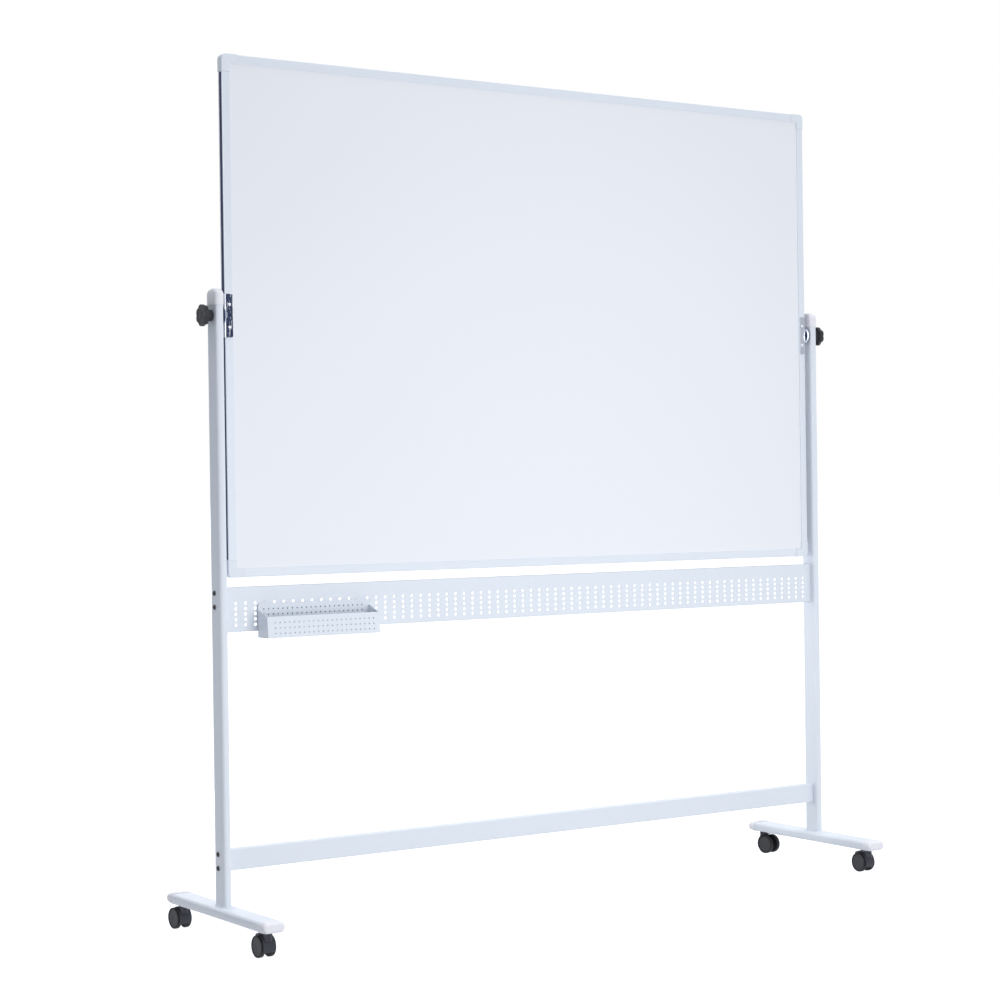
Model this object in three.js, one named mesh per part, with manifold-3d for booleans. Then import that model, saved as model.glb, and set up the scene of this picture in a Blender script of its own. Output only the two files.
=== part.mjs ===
// Rolling whiteboard: a double-sided dry-wipe board that turns over between the two
// posts of a wheeled steel stand, with a perforated accessory rail, a hang-on tray,
// a lower crossbar and four twin-wheel casters, the front two with brakes.
// Millimetres, +Z up. X runs along the board, -Y is the writing side that faces the
// reader, the floor is z = 0 and the origin is midway between the two posts.

import * as THREE from 'three';
import { mergeGeometries, mergeVertices } from 'three/addons/utils/BufferGeometryUtils.js';
import Module from 'manifold-3d';

const wasm = await Module();
wasm.setup();

// ---------------------------------------------------------------- driving dimensions
const GAP = 0.3;                 // clearance kept between touching pieces

// board
const BOARD_W = 1760;            // outside width of the framed board
const BOARD_H = 1200;            // outside height of the framed board
const BOARD_T = 20;              // thickness of the aluminium frame
const BOARD_Z = 1437;            // height of the board's centre, which is the tilt axis
const PANEL_T = 16;              // bonded writing panel: steel sheet, core, steel sheet
const FACE_T = 0.5;              // enamelled steel sheet on each side of the core
const GLUE = 0.2;                // bond line between a sheet and the core
const PANEL_INSET = 6.5;         // frame outside face to panel edge
const CORNER_LEG = 40;           // each leg of a corner cap
const CORNER_W = 21;             // width of a corner cap's legs
const CORNER_T = 21.4;           // corner cap stands 0.7 proud of each face
const CORNER_R = 9;

// posts
const POST_X = 900;              // post centre lines
const POST_W = 20;               // along X
const POST_D = 50;               // along Y
const POST_WALL = 1.5;
const POST_CAP_TOP = 1500;
const POST_CAP_BOTTOM = 1461;

// feet
const FOOT_W = 56;
const FOOT_H = 23;
const FOOT_Z = 72.5;             // centre of the foot tube
const FOOT_TUBE_HALF = 219;      // steel tube, half length
const FOOT_HALF = 246;           // over the end caps
const CASTER_Y = 210;            // stem positions along the foot

// cross members
const BAR_Y0 = -9;               // front face of crossbar and perforated panel
const BAR_Y1 = 16;               // rear face
const BAR_Z0 = 165.5;            // lower crossbar
const BAR_Z1 = 214.5;
const PEG_Z0 = 711.5;            // perforated panel
const PEG_Z1 = 814.5;
const SHEET = 1.2;
const PEG_COLS = 70;
const PEG_ROWS = 5;
const PEG_PITCH_X = 25;
const PEG_PITCH_Z = 12.5;
const PEG_TOP_ROW_Z = 777.25;
const PEG_HOLE = 7;
const BOLT_Y = 3.5;
const BOLT_Z = [172, 204, 770, 802];

// pivots
const KNOB_OUT = 938;            // outer face of each clamping knob
const BRACKET_H = 100;
const BRACKET_FLANGE = 20;
const DISC_R = 22.5;

// tray
const TRAY_X0 = -806;
const TRAY_X1 = -508;
const TRAY_Y_BACK = BAR_Y0 - GAP;
const TRAY_DEPTH = 51;
const TRAY_Z0 = 696.5;
const TRAY_BACK_TOP = 774.6;
const TRAY_FRONT_TOP = 745.5;
const TRAY_SIDE_BACK = 761.6;
const TRAY_LEAN = 5;             // front and sides lean in by this much at the top
const HOOK_X = [-787.5, -537.5];

// casters
const WHEEL_R = 25;              // rolling radius
const TRAIL = 17.5;              // stem to axle
const STEM_Z = 47;               // foot of the stem, clear of the wheels
const SWIVEL = { rl: 3, rr: 188, fl: 0.5, fr: 0.5 };  // resting swivel angles, degrees
const WHEEL_IN = 4.2;            // inner and outer faces of each wheel
const WHEEL_OUT = 19;
const HOOD_R = 28.4;
const HOOD_IN = 26.5;
const HOOD_HALF = 14;

// ---------------------------------------------------------------- materials
const mat = (color, roughness, metalness) =>
  new THREE.MeshStandardMaterial({ color, roughness, metalness });
const powder = () => mat(0xdbe4ef, 0.45, 0.0);        // pale blue-white powder coat
const anodised = () => mat(0xdde5ef, 0.35, 0.55);     // satin frame profile
const board = () => mat(0xeaedf3, 0.22, 0.0);         // dry-wipe surface
const kraft = () => mat(0xb08d5f, 0.9, 0.0);          // paper honeycomb core
const whitePlastic = () => mat(0xe6e6f0, 0.5, 0.0);
const blackPlastic = () => mat(0x323237, 0.55, 0.0);
const blackTyre = () => mat(0x26262a, 0.7, 0.0);
const chrome = () => mat(0x9aa3b8, 0.12, 1.0);
const steel = () => mat(0x8f949c, 0.35, 1.0);
const blackSteel = () => mat(0x2a2b30, 0.4, 0.8);

// ---------------------------------------------------------------- geometry helpers
const toSolid = (geometry) => {
  let g = geometry.clone();
  g.deleteAttribute('normal');
  g.deleteAttribute('uv');
  g = mergeVertices(g, 1e-4);
  const vertProperties = new Float32Array(g.attributes.position.array);
  const triVerts = new Uint32Array(g.index.array);
  return new wasm.Manifold(new wasm.Mesh({ numProp: 3, vertProperties, triVerts }));
};
const toGeometry = (solid) => {
  const m = solid.getMesh();
  const g = new THREE.BufferGeometry();
  g.setAttribute('position', new THREE.BufferAttribute(new Float32Array(m.vertProperties), 3));
  g.setIndex(new THREE.BufferAttribute(new Uint32Array(m.triVerts), 1));
  g.computeVertexNormals();
  return g;
};
const join = (...gs) => gs.map(toSolid).reduce((a, b) => a.add(b));
const cut = (solid, ...gs) => gs.map(toSolid).reduce((a, b) => a.subtract(b), solid);

const box = (x0, x1, y0, y1, z0, z1) =>
  new THREE.BoxGeometry(x1 - x0, y1 - y0, z1 - z0)
    .translate((x0 + x1) / 2, (y0 + y1) / 2, (z0 + z1) / 2);

// cylinder along X, Y or Z between a0 and a1, a flat of the polygon facing down or back
const cyl = (axis, r, a0, a1, u = 0, v = 0, n = 16, turn = 0) => {
  const g = new THREE.CylinderGeometry(r, r, a1 - a0, n, 1);
  g.rotateY(turn);
  if (axis === 'x') g.rotateZ(-Math.PI / 2).translate((a0 + a1) / 2, u, v);
  if (axis === 'y') g.translate(u, (a0 + a1) / 2, v);
  if (axis === 'z') g.rotateX(Math.PI / 2).translate(u, v, (a0 + a1) / 2);
  return g;
};

const outline = (points) => new THREE.Shape(points.map(([a, b]) => new THREE.Vector2(a, b)));
// extrude a shape drawn in (x, y) from z0 to z1
const prism = (shape, z0, z1, curveSegments = 6) =>
  new THREE.ExtrudeGeometry(shape, { depth: z1 - z0, bevelEnabled: false, curveSegments, steps: 1 })
    .translate(0, 0, z0);

// flat-oval outline, long side along the second axis when tall is true
const oval = (w, h, n = 8) => {
  const pts = [];
  const r = Math.min(w, h) / 2;
  const f = Math.max(w, h) / 2 - r;
  for (let side = 0; side < 2; side++) {
    for (let i = 0; i <= n; i++) {
      const a = (w > h ? -Math.PI / 2 : 0) + side * Math.PI + (Math.PI * i) / n;
      const s = side === 0 ? 1 : -1;
      pts.push(w > h
        ? [s * f + r * Math.cos(a), r * Math.sin(a)]
        : [r * Math.cos(a), s * f + r * Math.sin(a)]);
    }
  }
  return pts;
};
const ovalTube = (w, h, wall, z0, z1, n = 8) => {
  const s = outline(oval(w, h, n));
  s.holes.push(new THREE.Path(oval(w - 2 * wall, h - 2 * wall, n).reverse()
    .map(([a, b]) => new THREE.Vector2(a, b))));
  return prism(s, z0, z1);
};
// closed skin through a list of outlines, each {z, pts} with the same number of points
const loft = (rings) => {
  const n = rings[0].pts.length;
  const pos = [];
  rings.forEach(({ z, pts }) => pts.forEach(([a, b]) => pos.push(a, b, z)));
  const idx = [];
  for (let k = 0; k < rings.length - 1; k++) {
    for (let i = 0; i < n; i++) {
      const j = (i + 1) % n;
      const a = k * n + i, b = k * n + j, c = (k + 1) * n + j, d = (k + 1) * n + i;
      idx.push(a, b, c, a, c, d);
    }
  }
  const cap = (k, up) => {
    const tris = THREE.ShapeUtils.triangulateShape(
      rings[k].pts.map(([a, b]) => new THREE.Vector2(a, b)), []);
    tris.forEach(([a, b, c]) => (up ? idx.push(k * n + a, k * n + b, k * n + c)
      : idx.push(k * n + a, k * n + c, k * n + b)));
  };
  cap(0, false);
  cap(rings.length - 1, true);
  const g = new THREE.BufferGeometry();
  g.setAttribute('position', new THREE.Float32BufferAttribute(pos, 3));
  g.setIndex(idx);
  g.computeVertexNormals();
  return g;
};
// turned piece: profile of [radius, position along the axis], axis X
const turned = (profile, n = 16, turn = 0) => {
  const g = new THREE.LatheGeometry(profile.map(([r, a]) => new THREE.Vector2(r, a)), n);
  g.rotateY(turn);
  return g.rotateZ(-Math.PI / 2);
};
const turnedZ = (profile, n = 12) =>
  new THREE.LatheGeometry(profile.map(([r, a]) => new THREE.Vector2(r, a)), n).rotateX(Math.PI / 2);

const whiteboard = new THREE.Group();
const add = (name, geometry, material, parent = whiteboard) => {
  const g = geometry.isBufferGeometry ? geometry : toGeometry(geometry);
  const mesh = new THREE.Mesh(g, material);
  mesh.name = name;
  parent.add(mesh);
  return mesh;
};
// a piece lofted or extruded along Z is laid along Y
const alongY = (g) => g.clone().rotateX(-Math.PI / 2);

// ================================================================ board
const boardGroup = new THREE.Group();
boardGroup.position.z = BOARD_Z;
whiteboard.add(boardGroup);
const HX = BOARD_W / 2, HZ = BOARD_H / 2, HT = BOARD_T / 2;

// bonded panel: a honeycomb core between two enamelled steel sheets
const layer = (y0, y1) => box(-HX + PANEL_INSET, HX - PANEL_INSET, y0, y1, -HZ + PANEL_INSET, HZ - PANEL_INSET);
const coreY = PANEL_T / 2 - FACE_T - GLUE;
add('face_sheet_front', layer(-PANEL_T / 2, -PANEL_T / 2 + FACE_T), board(), boardGroup);
add('board_core', layer(-coreY, coreY), kraft(), boardGroup);
add('face_sheet_rear', layer(PANEL_T / 2 - FACE_T, PANEL_T / 2), board(), boardGroup);

// frame profile, u inwards from the outside edge, v through the thickness:
// an open channel on the outside and a slot for the panel on the inside
const v0 = PANEL_T / 2 + 0.2;
const rail = [
  [0, 5.4], [0, 8.2], [0.55, 9.45], [1.8, HT], [20, HT], [20, v0], [6, v0],
  [6, -v0], [20, -v0], [20, -HT], [1.8, -HT], [0.55, -9.45], [0, -8.2], [0, -5.4],
  [1.6, -5.4], [1.6, -v0], [4.2, -v0], [4.2, v0], [1.6, v0], [1.6, 5.4],
];
const railLength = { h: BOARD_W - 2 * CORNER_LEG - 2 * GAP, v: BOARD_H - 2 * CORNER_LEG - 2 * GAP };
const railSolid = (length) => {
  const s = outline(rail.map(([u, v]) => [u, v]).reverse());
  return prism(s, -length / 2, length / 2);
};
// extruded along Z with u along +X and v along +Y
const railLeft = railSolid(railLength.v).translate(-HX, 0, 0);
add('rail_left', railLeft, anodised(), boardGroup);
add('rail_right', railSolid(railLength.v).rotateZ(Math.PI).translate(HX, 0, 0), anodised(), boardGroup);
add('rail_bottom', railSolid(railLength.h).rotateY(-Math.PI / 2).translate(0, 0, -HZ), anodised(), boardGroup);
add('rail_top', railSolid(railLength.h).rotateY(Math.PI / 2).translate(0, 0, HZ), anodised(), boardGroup);

// corner cap for the lower left corner, in the board's own plane; the others are turned copies
const cornerCap = () => {
  const L = CORNER_LEG, W = CORNER_W, R = CORNER_R, O = -0.7;
  const pts = [[L, O], [L, W], [W + 4, W], [W, W + 4], [W, L], [O, L], [O, R + O]];
  for (let i = 1; i < 5; i++) {
    const a = Math.PI + (Math.PI / 2) * (i / 5);
    pts.push([O + R + R * Math.cos(a), O + R + R * Math.sin(a)]);
  }
  pts.push([R + O, O]);
  const body = prism(outline(pts), -CORNER_T / 2, CORNER_T / 2).rotateX(Math.PI / 2);
  const tongueH = box(L - 4, L + 18, -v0 + 0.5, v0 - 0.5, 1.9, 3.9);
  const tongueV = box(1.9, 3.9, -v0 + 0.5, v0 - 0.5, L - 4, L + 18);
  return cut(join(body, tongueH, tongueV),
    box(PANEL_INSET - GAP, 200, -PANEL_T / 2 - GAP, PANEL_T / 2 + GAP, PANEL_INSET - GAP, 200));
};
const cornerGeometry = toGeometry(cornerCap());
[['corner_cap_bottom_left', 0, -HX, -HZ], ['corner_cap_bottom_right', 1, HX, -HZ],
  ['corner_cap_top_right', 2, HX, HZ], ['corner_cap_top_left', 3, -HX, HZ]]
  .forEach(([name, quarter, x, z]) => {
    const g = cornerGeometry.clone().rotateY(-quarter * Math.PI / 2).translate(x, 0, z);
    add(name, g, whitePlastic(), boardGroup);
  });

// pivot bracket of the right-hand side: a folded strap round the rail with a welded stud
const bracket = () => {
  const x0 = HX - BRACKET_FLANGE, xi = HX + GAP, xo = HX + 2.7;
  const yi = HT + GAP, yo = HT + 2.0;
  const h = BRACKET_H / 2;
  const strap = outline([[x0, -yo], [xo - 2, -yo], [xo - 0.6, -yo + 0.6], [xo, -yo + 2],
    [xo, yo - 2], [xo - 0.6, yo - 0.6], [xo - 2, yo], [x0, yo],
    [x0, yi], [xi, yi], [xi, -yi], [x0, -yi]]);
  const rivet = (z, s) => cyl('y', 3.4, s > 0 ? yo - 0.5 : -yo - 1.2, s > 0 ? yo + 1.2 : -yo + 0.5,
    HX - 10.5, z, 8);
  return join(prism(strap, -h, h), cyl('x', 4, xi + 0.5, KNOB_OUT - 9, 0, 0, 12),
    rivet(26, 1), rivet(-26, 1), rivet(26, -1), rivet(-26, -1));
};
const bracketGeometry = toGeometry(bracket());
add('pivot_bracket_right', bracketGeometry, chrome(), boardGroup);
add('pivot_bracket_left', bracketGeometry.clone().rotateZ(Math.PI), chrome(), boardGroup);

// friction disc between bracket and post
const discX = HX + 2.7 + GAP;
const disc = () => turned([[4.5, discX], [DISC_R, discX], [DISC_R, discX + 2.2], [DISC_R - 2, discX + 3.4],
  [15, POST_X - POST_W / 2 - GAP], [4.5, POST_X - POST_W / 2 - GAP], [4.5, discX]], 20);
const discGeometry = disc();
add('friction_disc_right', discGeometry, chrome(), boardGroup);
add('friction_disc_left', discGeometry.clone().rotateZ(Math.PI), chrome(), boardGroup);

// clamping knob: seven-lobed head on a hub, threaded on to the stud outside the post
const knob = () => {
  const pts = [];
  for (let i = 0; i < 35; i++) {
    const a = (2 * Math.PI * i) / 35;
    const r = 23.4 + 2.1 * Math.cos(7 * a);
    pts.push([r * Math.cos(a), r * Math.sin(a)]);
  }
  const face = (k) => pts.map(([a, b]) => [a * k, b * k]);
  const head = loft([{ z: KNOB_OUT - 13, pts: face(0.9) }, { z: KNOB_OUT - 11, pts },
    { z: KNOB_OUT - 2.5, pts }, { z: KNOB_OUT, pts: face(0.86) }]);
  head.rotateY(Math.PI / 2);
  const hub = turned([[0, POST_X + 10.3], [11.5, POST_X + 10.3], [13.5, POST_X + 12.5], [13.5, KNOB_OUT - 11],
    [0, KNOB_OUT - 11]], 14);
  return cut(join(head, hub), cyl('x', 4.4, POST_X + 9, KNOB_OUT - 7, 0, 0, 12));
};
const knobGeometry = toGeometry(knob());
add('knob_right', knobGeometry, blackPlastic(), boardGroup);
add('knob_left', knobGeometry.clone().rotateZ(Math.PI), blackPlastic(), boardGroup);

// ================================================================ stand
const POST_BOTTOM = FOOT_Z + FOOT_H / 2 + GAP;
const POST_TOP = POST_CAP_TOP - 9;
const post = () => cut(toSolid(ovalTube(POST_W, POST_D, POST_WALL, POST_BOTTOM, POST_TOP, 8)),
  cyl('x', 4.7, -POST_W, POST_W, 0, BOARD_Z, 12),
  ...BOLT_Z.map((z) => cyl('x', 3.4, -POST_W, POST_W, BOLT_Y, z, 8, Math.PI / 8)));
const postGeometry = toGeometry(post());
add('post_right', postGeometry.clone().translate(POST_X, 0, 0), powder());
add('post_left', postGeometry.clone().translate(-POST_X, 0, 0), powder());

// domed cap pushed over the top of each post
const postCap = () => {
  const ring = (z, k, d = 0) => ({ z, pts: oval(POST_W + 2.6 - d, POST_D + 2.6 - d, 8).map(([a, b]) => [a * k, b * k]) });
  const skin = loft([ring(POST_CAP_BOTTOM, 1), ring(POST_CAP_TOP - 12, 1), ring(POST_CAP_TOP - 6, 0.93),
    ring(POST_CAP_TOP - 2, 0.76), ring(POST_CAP_TOP, 0.45)]);
  return cut(toSolid(skin), prism(outline(oval(POST_W + 2 * GAP, POST_D + 2 * GAP, 8)),
    POST_CAP_BOTTOM - 1, POST_TOP + GAP));
};
const postCapGeometry = toGeometry(postCap());
add('post_cap_right', postCapGeometry.clone().translate(POST_X, 0, 0), whitePlastic());
add('post_cap_left', postCapGeometry.clone().translate(-POST_X, 0, 0), whitePlastic());

// flat-oval foot tube, drilled underneath for the two caster stems
const footTube = () => cut(
  toSolid(alongY(ovalTube(FOOT_W, FOOT_H, 1.5, -FOOT_TUBE_HALF, FOOT_TUBE_HALF, 8)).translate(0, 0, FOOT_Z)),
  cyl('z', 5.3, FOOT_Z - 20, FOOT_Z, 0, CASTER_Y, 10),
  cyl('z', 5.3, FOOT_Z - 20, FOOT_Z, 0, -CASTER_Y, 10));
const footGeometry = toGeometry(footTube());
add('foot_tube_right', footGeometry.clone().translate(POST_X, 0, 0), powder());
add('foot_tube_left', footGeometry.clone().translate(-POST_X, 0, 0), powder());

// foot end cap: a rounded nose that closes the tube, with a short plug inside it
const footCap = () => {
  const ring = (z, w, h) => ({ z, pts: oval(w, h, 8) });
  const i0 = FOOT_TUBE_HALF - 1.6;
  const skin = loft([ring(i0, FOOT_W - 3.8, FOOT_H - 3.8), ring(FOOT_TUBE_HALF + GAP, FOOT_W - 3.8, FOOT_H - 3.8),
    ring(FOOT_TUBE_HALF + GAP, FOOT_W, FOOT_H), ring(FOOT_HALF - 6, FOOT_W, FOOT_H),
    ring(FOOT_HALF - 2, FOOT_W - 3, FOOT_H - 3), ring(FOOT_HALF, FOOT_W - 12, FOOT_H - 12)]);
  return skin;
};
// laid along -Y for the front caps and turned round for the rear ones
const footCapBack = alongY(footCap()).translate(0, 0, FOOT_Z);
const footCapFront = footCapBack.clone().rotateZ(Math.PI);
for (const [side, x] of [['left', -POST_X], ['right', POST_X]]) {
  add(`foot_cap_front_${side}`, footCapFront.clone().translate(x, 0, 0), whitePlastic());
  add(`foot_cap_rear_${side}`, footCapBack.clone().translate(x, 0, 0), whitePlastic());
}

// lower crossbar: rectangular tube with a drilled plate welded in each end
const BAR_X = POST_X - POST_W / 2 - GAP;
const boltHole = (z, x0, x1) => cyl('x', 3.5, x0, x1, BOLT_Y, z, 8, Math.PI / 8);
const crossbar = () => cut(toSolid(box(-BAR_X, BAR_X, BAR_Y0, BAR_Y1, BAR_Z0, BAR_Z1)),
  box(-BAR_X + 3, BAR_X - 3, BAR_Y0 + 1.5, BAR_Y1 - 1.5, BAR_Z0 + 1.5, BAR_Z1 - 1.5),
  ...[172, 204].map((z) => boltHole(z, -BAR_X - 5, BAR_X + 5)));
add('lower_crossbar', crossbar(), powder());

// perforated panel: folded steel channel, open at the back, with square-on peg holes
const pegPanel = () => {
  const h = PEG_HOLE / 2;
  const holes = [];
  for (let i = 0; i < PEG_COLS; i++) {
    for (let j = 0; j < PEG_ROWS; j++) {
      const x = (i - (PEG_COLS - 1) / 2) * PEG_PITCH_X;
      const z = PEG_TOP_ROW_Z - j * PEG_PITCH_Z;
      holes.push(box(x - h, x + h, BAR_Y0 - 2, BAR_Y0 + SHEET + 2, z - h, z + h));
    }
  }
  // front sheet with returns folded back along the top, bottom and ends
  const channel = cut(toSolid(box(-BAR_X, BAR_X, BAR_Y0, BAR_Y1, PEG_Z0, PEG_Z1)),
    box(-BAR_X + 2.5, BAR_X - 2.5, BAR_Y0 + SHEET, BAR_Y1 + 5, PEG_Z0 + SHEET, PEG_Z1 - SHEET));
  return cut(channel, mergeGeometries(holes),
    ...[770, 802].map((z) => boltHole(z, -BAR_X - 5, BAR_X + 5)));
};
add('perforated_panel', pegPanel(), powder());

// socket screws through the posts into the cross members
const screw = () => {
  const x = POST_X + POST_W / 2;
  return cut(join(turned([[0, BAR_X - 14], [3, BAR_X - 14], [3, x + 0.6], [6.2, x + 0.3], [6.2, x + 1.8], [5, x + 2.8],
    [0, x + 2.8]], 12)), cyl('x', 2.9, x + 1.0, x + 4, 0, 0, 6));
};
const screwGeometry = toGeometry(screw());
const LEVEL = ['crossbar_lower', 'crossbar_upper', 'panel_lower', 'panel_upper'];
BOLT_Z.forEach((z, i) => {
  add(`frame_screw_${LEVEL[i]}_right`, screwGeometry.clone().translate(0, BOLT_Y, z), blackSteel());
  add(`frame_screw_${LEVEL[i]}_left`, screwGeometry.clone().rotateZ(Math.PI).translate(0, BOLT_Y, z), blackSteel());
});

// ================================================================ tray
// folded sheet tray: tall back, low front that leans in, sloping sides, two pegboard hooks
const tray = () => {
  const yb = TRAY_Y_BACK, yf = yb - TRAY_DEPTH, t = SHEET, L = TRAY_LEAN;
  const x0 = TRAY_X0, x1 = TRAY_X1, z0 = TRAY_Z0;
  // outer body with its sides cut to the slope, drawn in Y-Z and extruded along X
  const side = outline([[yb, z0], [yb, TRAY_SIDE_BACK], [yf + L, TRAY_FRONT_TOP], [yf, z0]]);
  const bodyOf = (a0, a1) => prism(side, a0, a1).rotateX(Math.PI / 2).rotateZ(Math.PI / 2);
  const body = bodyOf(x0, x1);
  const inner = outline([[yb - t, z0 + t], [yb - t, 900], [yf + L + t - 5, 900], [yf + L + t, TRAY_FRONT_TOP],
    [yf + t * 1.02, z0 + t]]);
  const cavity = prism(inner, x0 + t, x1 - t).rotateX(Math.PI / 2).rotateZ(Math.PI / 2);
  const r = 8, zt = TRAY_BACK_TOP;
  const back = outline([[x0, z0], [x1, z0], [x1, zt - r], [x1 - 2.4, zt - 2.4], [x1 - r, zt], [x0 + r, zt],
    [x0 + 2.4, zt - 2.4], [x0, zt - r]]);
  const backWall = prism(back, 0, t).rotateX(Math.PI / 2).translate(0, yb, 0);
  // hooks: a neck through a peg hole and a prong that turns up behind the panel
  const hook = (x) => [
    box(x - 2.5, x + 2.5, yb - t, yb, zt - 1, 779.5),
    box(x - 2.5, x + 2.5, yb - t, BAR_Y0 + SHEET + 2.6, 775.5, 779.5),
    box(x - 2.5, x + 2.5, BAR_Y0 + SHEET + 0.6, BAR_Y0 + SHEET + 2.6, 775.5, 786),
  ];
  const shell = toSolid(body).subtract(toSolid(cavity));
  return [backWall, ...HOOK_X.flatMap(hook)].map(toSolid).reduce((a, b) => a.add(b), shell);
};
add('accessory_tray', tray(), powder());

// ================================================================ casters
const AX = [TRAIL, WHEEL_R];     // axle in the caster's own Y-Z, trailing behind the stem
const tyreR = WHEEL_R / Math.cos(Math.PI / 16);
const flatDown = Math.PI / 16;
const wheel = () => turned([[0, WHEEL_OUT - 1.6], [20.6, WHEEL_OUT - 1.6], [21.6, WHEEL_OUT], [23.6, WHEEL_OUT],
  [tyreR, WHEEL_OUT - 2], [tyreR, WHEEL_IN + 1.5], [23.5, WHEEL_IN], [2.8, WHEEL_IN], [2.8, WHEEL_OUT - 4],
  [0, WHEEL_OUT - 4]].reverse(), 16, flatDown);
const wheelGeometry = wheel();
const axleGeometry = cyl('x', 2.5, -WHEEL_OUT + 4.5, WHEEL_OUT - 4.5, 0, 0, 10);
const hood = () => {
  const [ay, az] = AX;
  const pie = [[0, 0]];
  for (let i = 0; i <= 9; i++) {
    const a = THREE.MathUtils.degToRad(96 + (204 - 96) * (i / 9));
    pie.push([HOOD_R * Math.cos(a), HOOD_R * Math.sin(a)]);
  }
  // drawn in Y-Z and extruded along X
  const shell = prism(outline(pie), -HOOD_HALF, HOOD_HALF).rotateX(Math.PI / 2).rotateZ(Math.PI / 2)
    .translate(0, ay, az);
  const hub = cyl('x', 9, -3.4, 3.4, ay, az, 14);
  const boss = cyl('z', 11, 38, 59, 0, 0, 14);
  return cut(join(shell, hub, boss),
    cyl('x', HOOD_IN, 3.7, 40, ay, az, 24), cyl('x', HOOD_IN, -40, -3.7, ay, az, 24),
    cyl('x', 2.8, -5, 5, ay, az, 10), cyl('z', 5.3, STEM_Z - GAP, 62, 0, 0, 10));
};
const hoodGeometry = toGeometry(hood());
const stemGeometry = turnedZ([[0, -81], [4.4, -81], [5, -79.5], [5, -60.7], [9, -60.7], [9, -59.3], [5, -59.3],
  [5, -STEM_Z], [0, -STEM_Z]], 12).rotateX(Math.PI);
// brake pedal: a tread plate behind the hood's crown, on a short pin
const pedal = () => join(
  prism(outline([[19.2, 55.4], [19.2, 52.9], [23, 52], [36, 48.4], [36.6, 49.2], [36, 50.6], [24, 54.6]]), -10.5, 10.5)
    .rotateX(Math.PI / 2).rotateZ(Math.PI / 2),
);
const pedalGeometry = toGeometry(pedal());
const CASTER_AT = {
  fl: ['front_left', -POST_X, -CASTER_Y], rl: ['rear_left', -POST_X, CASTER_Y],
  rr: ['rear_right', POST_X, CASTER_Y], fr: ['front_right', POST_X, -CASTER_Y],
};
for (const [key, [label, x, y]] of Object.entries(CASTER_AT)) {
  const g = new THREE.Group();
  g.position.set(x, y, 0);
  g.rotation.z = THREE.MathUtils.degToRad(SWIVEL[key]);
  whiteboard.add(g);
  add(`caster_stem_${label}`, stemGeometry, steel(), g);
  add(`caster_hood_${label}`, hoodGeometry, blackPlastic(), g);
  add(`caster_axle_${label}`, axleGeometry.clone().translate(0, ...AX), steel(), g);
  // the outer wheel is the one away from the middle of the stand
  const turn = (x > 0) === (Math.abs(SWIVEL[key]) < 90) ? 0 : Math.PI;
  add(`caster_wheel_outer_${label}`, wheelGeometry.clone().rotateZ(turn).translate(0, ...AX), blackTyre(), g);
  add(`caster_wheel_inner_${label}`, wheelGeometry.clone().rotateZ(Math.PI - turn).translate(0, ...AX), blackTyre(), g);
  if (label.startsWith('front')) add(`caster_brake_${label}`, pedalGeometry, blackPlastic(), g);
}

export default whiteboard;
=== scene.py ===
import math

import bmesh
import bpy
from mathutils import Matrix, Vector


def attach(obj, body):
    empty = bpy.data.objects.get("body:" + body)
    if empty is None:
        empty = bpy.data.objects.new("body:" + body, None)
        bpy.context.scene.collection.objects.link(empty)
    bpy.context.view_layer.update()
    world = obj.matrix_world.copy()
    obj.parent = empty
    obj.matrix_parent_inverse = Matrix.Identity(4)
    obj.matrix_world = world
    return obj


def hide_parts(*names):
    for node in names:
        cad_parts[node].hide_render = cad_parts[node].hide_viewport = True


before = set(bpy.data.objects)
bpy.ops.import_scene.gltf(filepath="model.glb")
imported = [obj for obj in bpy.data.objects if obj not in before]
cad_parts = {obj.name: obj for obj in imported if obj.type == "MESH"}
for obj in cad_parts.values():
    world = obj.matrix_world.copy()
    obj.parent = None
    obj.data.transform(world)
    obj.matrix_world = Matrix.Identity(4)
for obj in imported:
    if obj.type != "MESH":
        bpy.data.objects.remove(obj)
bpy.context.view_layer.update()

scene = bpy.context.scene
pi = math.pi
rad = math.radians

# ------------------------------------------------------------------ sizes, millimetres
BOARD_HX, BOARD_HZ, BOARD_Z = 880.0, 600.0, 1437.0
POST_X = 900.0
FOOT_Z, FOOT_W, FOOT_H, FOOT_TUBE, FOOT_END = 72.5, 56.0, 23.0, 219.0, 246.0
BAR_X = 889.7
PEG_Z0, PEG_Z1, PEG_TOP = 711.5, 814.5, 777.25
CASTERS = {
    "front_left": (-900.0, -210.0, 0.5),
    "rear_left": (-900.0, 210.0, 3.0),
    "rear_right": (900.0, 210.0, 188.0),
    "front_right": (900.0, -210.0, 0.5),
}


# ------------------------------------------------------------------ materials
def tree(name):
    m = bpy.data.materials.new(name)
    m.use_nodes = True
    nt = m.node_tree
    nt.nodes.clear()
    out = nt.nodes.new("ShaderNodeOutputMaterial")
    bsdf = nt.nodes.new("ShaderNodeBsdfPrincipled")
    nt.links.new(bsdf.outputs["BSDF"], out.inputs["Surface"])
    return m, nt, bsdf


def noise(nt, scale, detail=3.0, rough=0.5, stretch=None):
    """Noise in the object's own coordinates, whose unit is a metre."""
    tc = nt.nodes.new("ShaderNodeTexCoord")
    vec = tc.outputs["Object"]
    if stretch:
        mp = nt.nodes.new("ShaderNodeMapping")
        mp.inputs["Scale"].default_value = stretch
        nt.links.new(vec, mp.inputs["Vector"])
        vec = mp.outputs["Vector"]
    n = nt.nodes.new("ShaderNodeTexNoise")
    n.inputs["Scale"].default_value = scale
    n.inputs["Detail"].default_value = detail
    n.inputs["Roughness"].default_value = rough
    nt.links.new(vec, n.inputs["Vector"])
    return n.outputs["Fac"]


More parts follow.
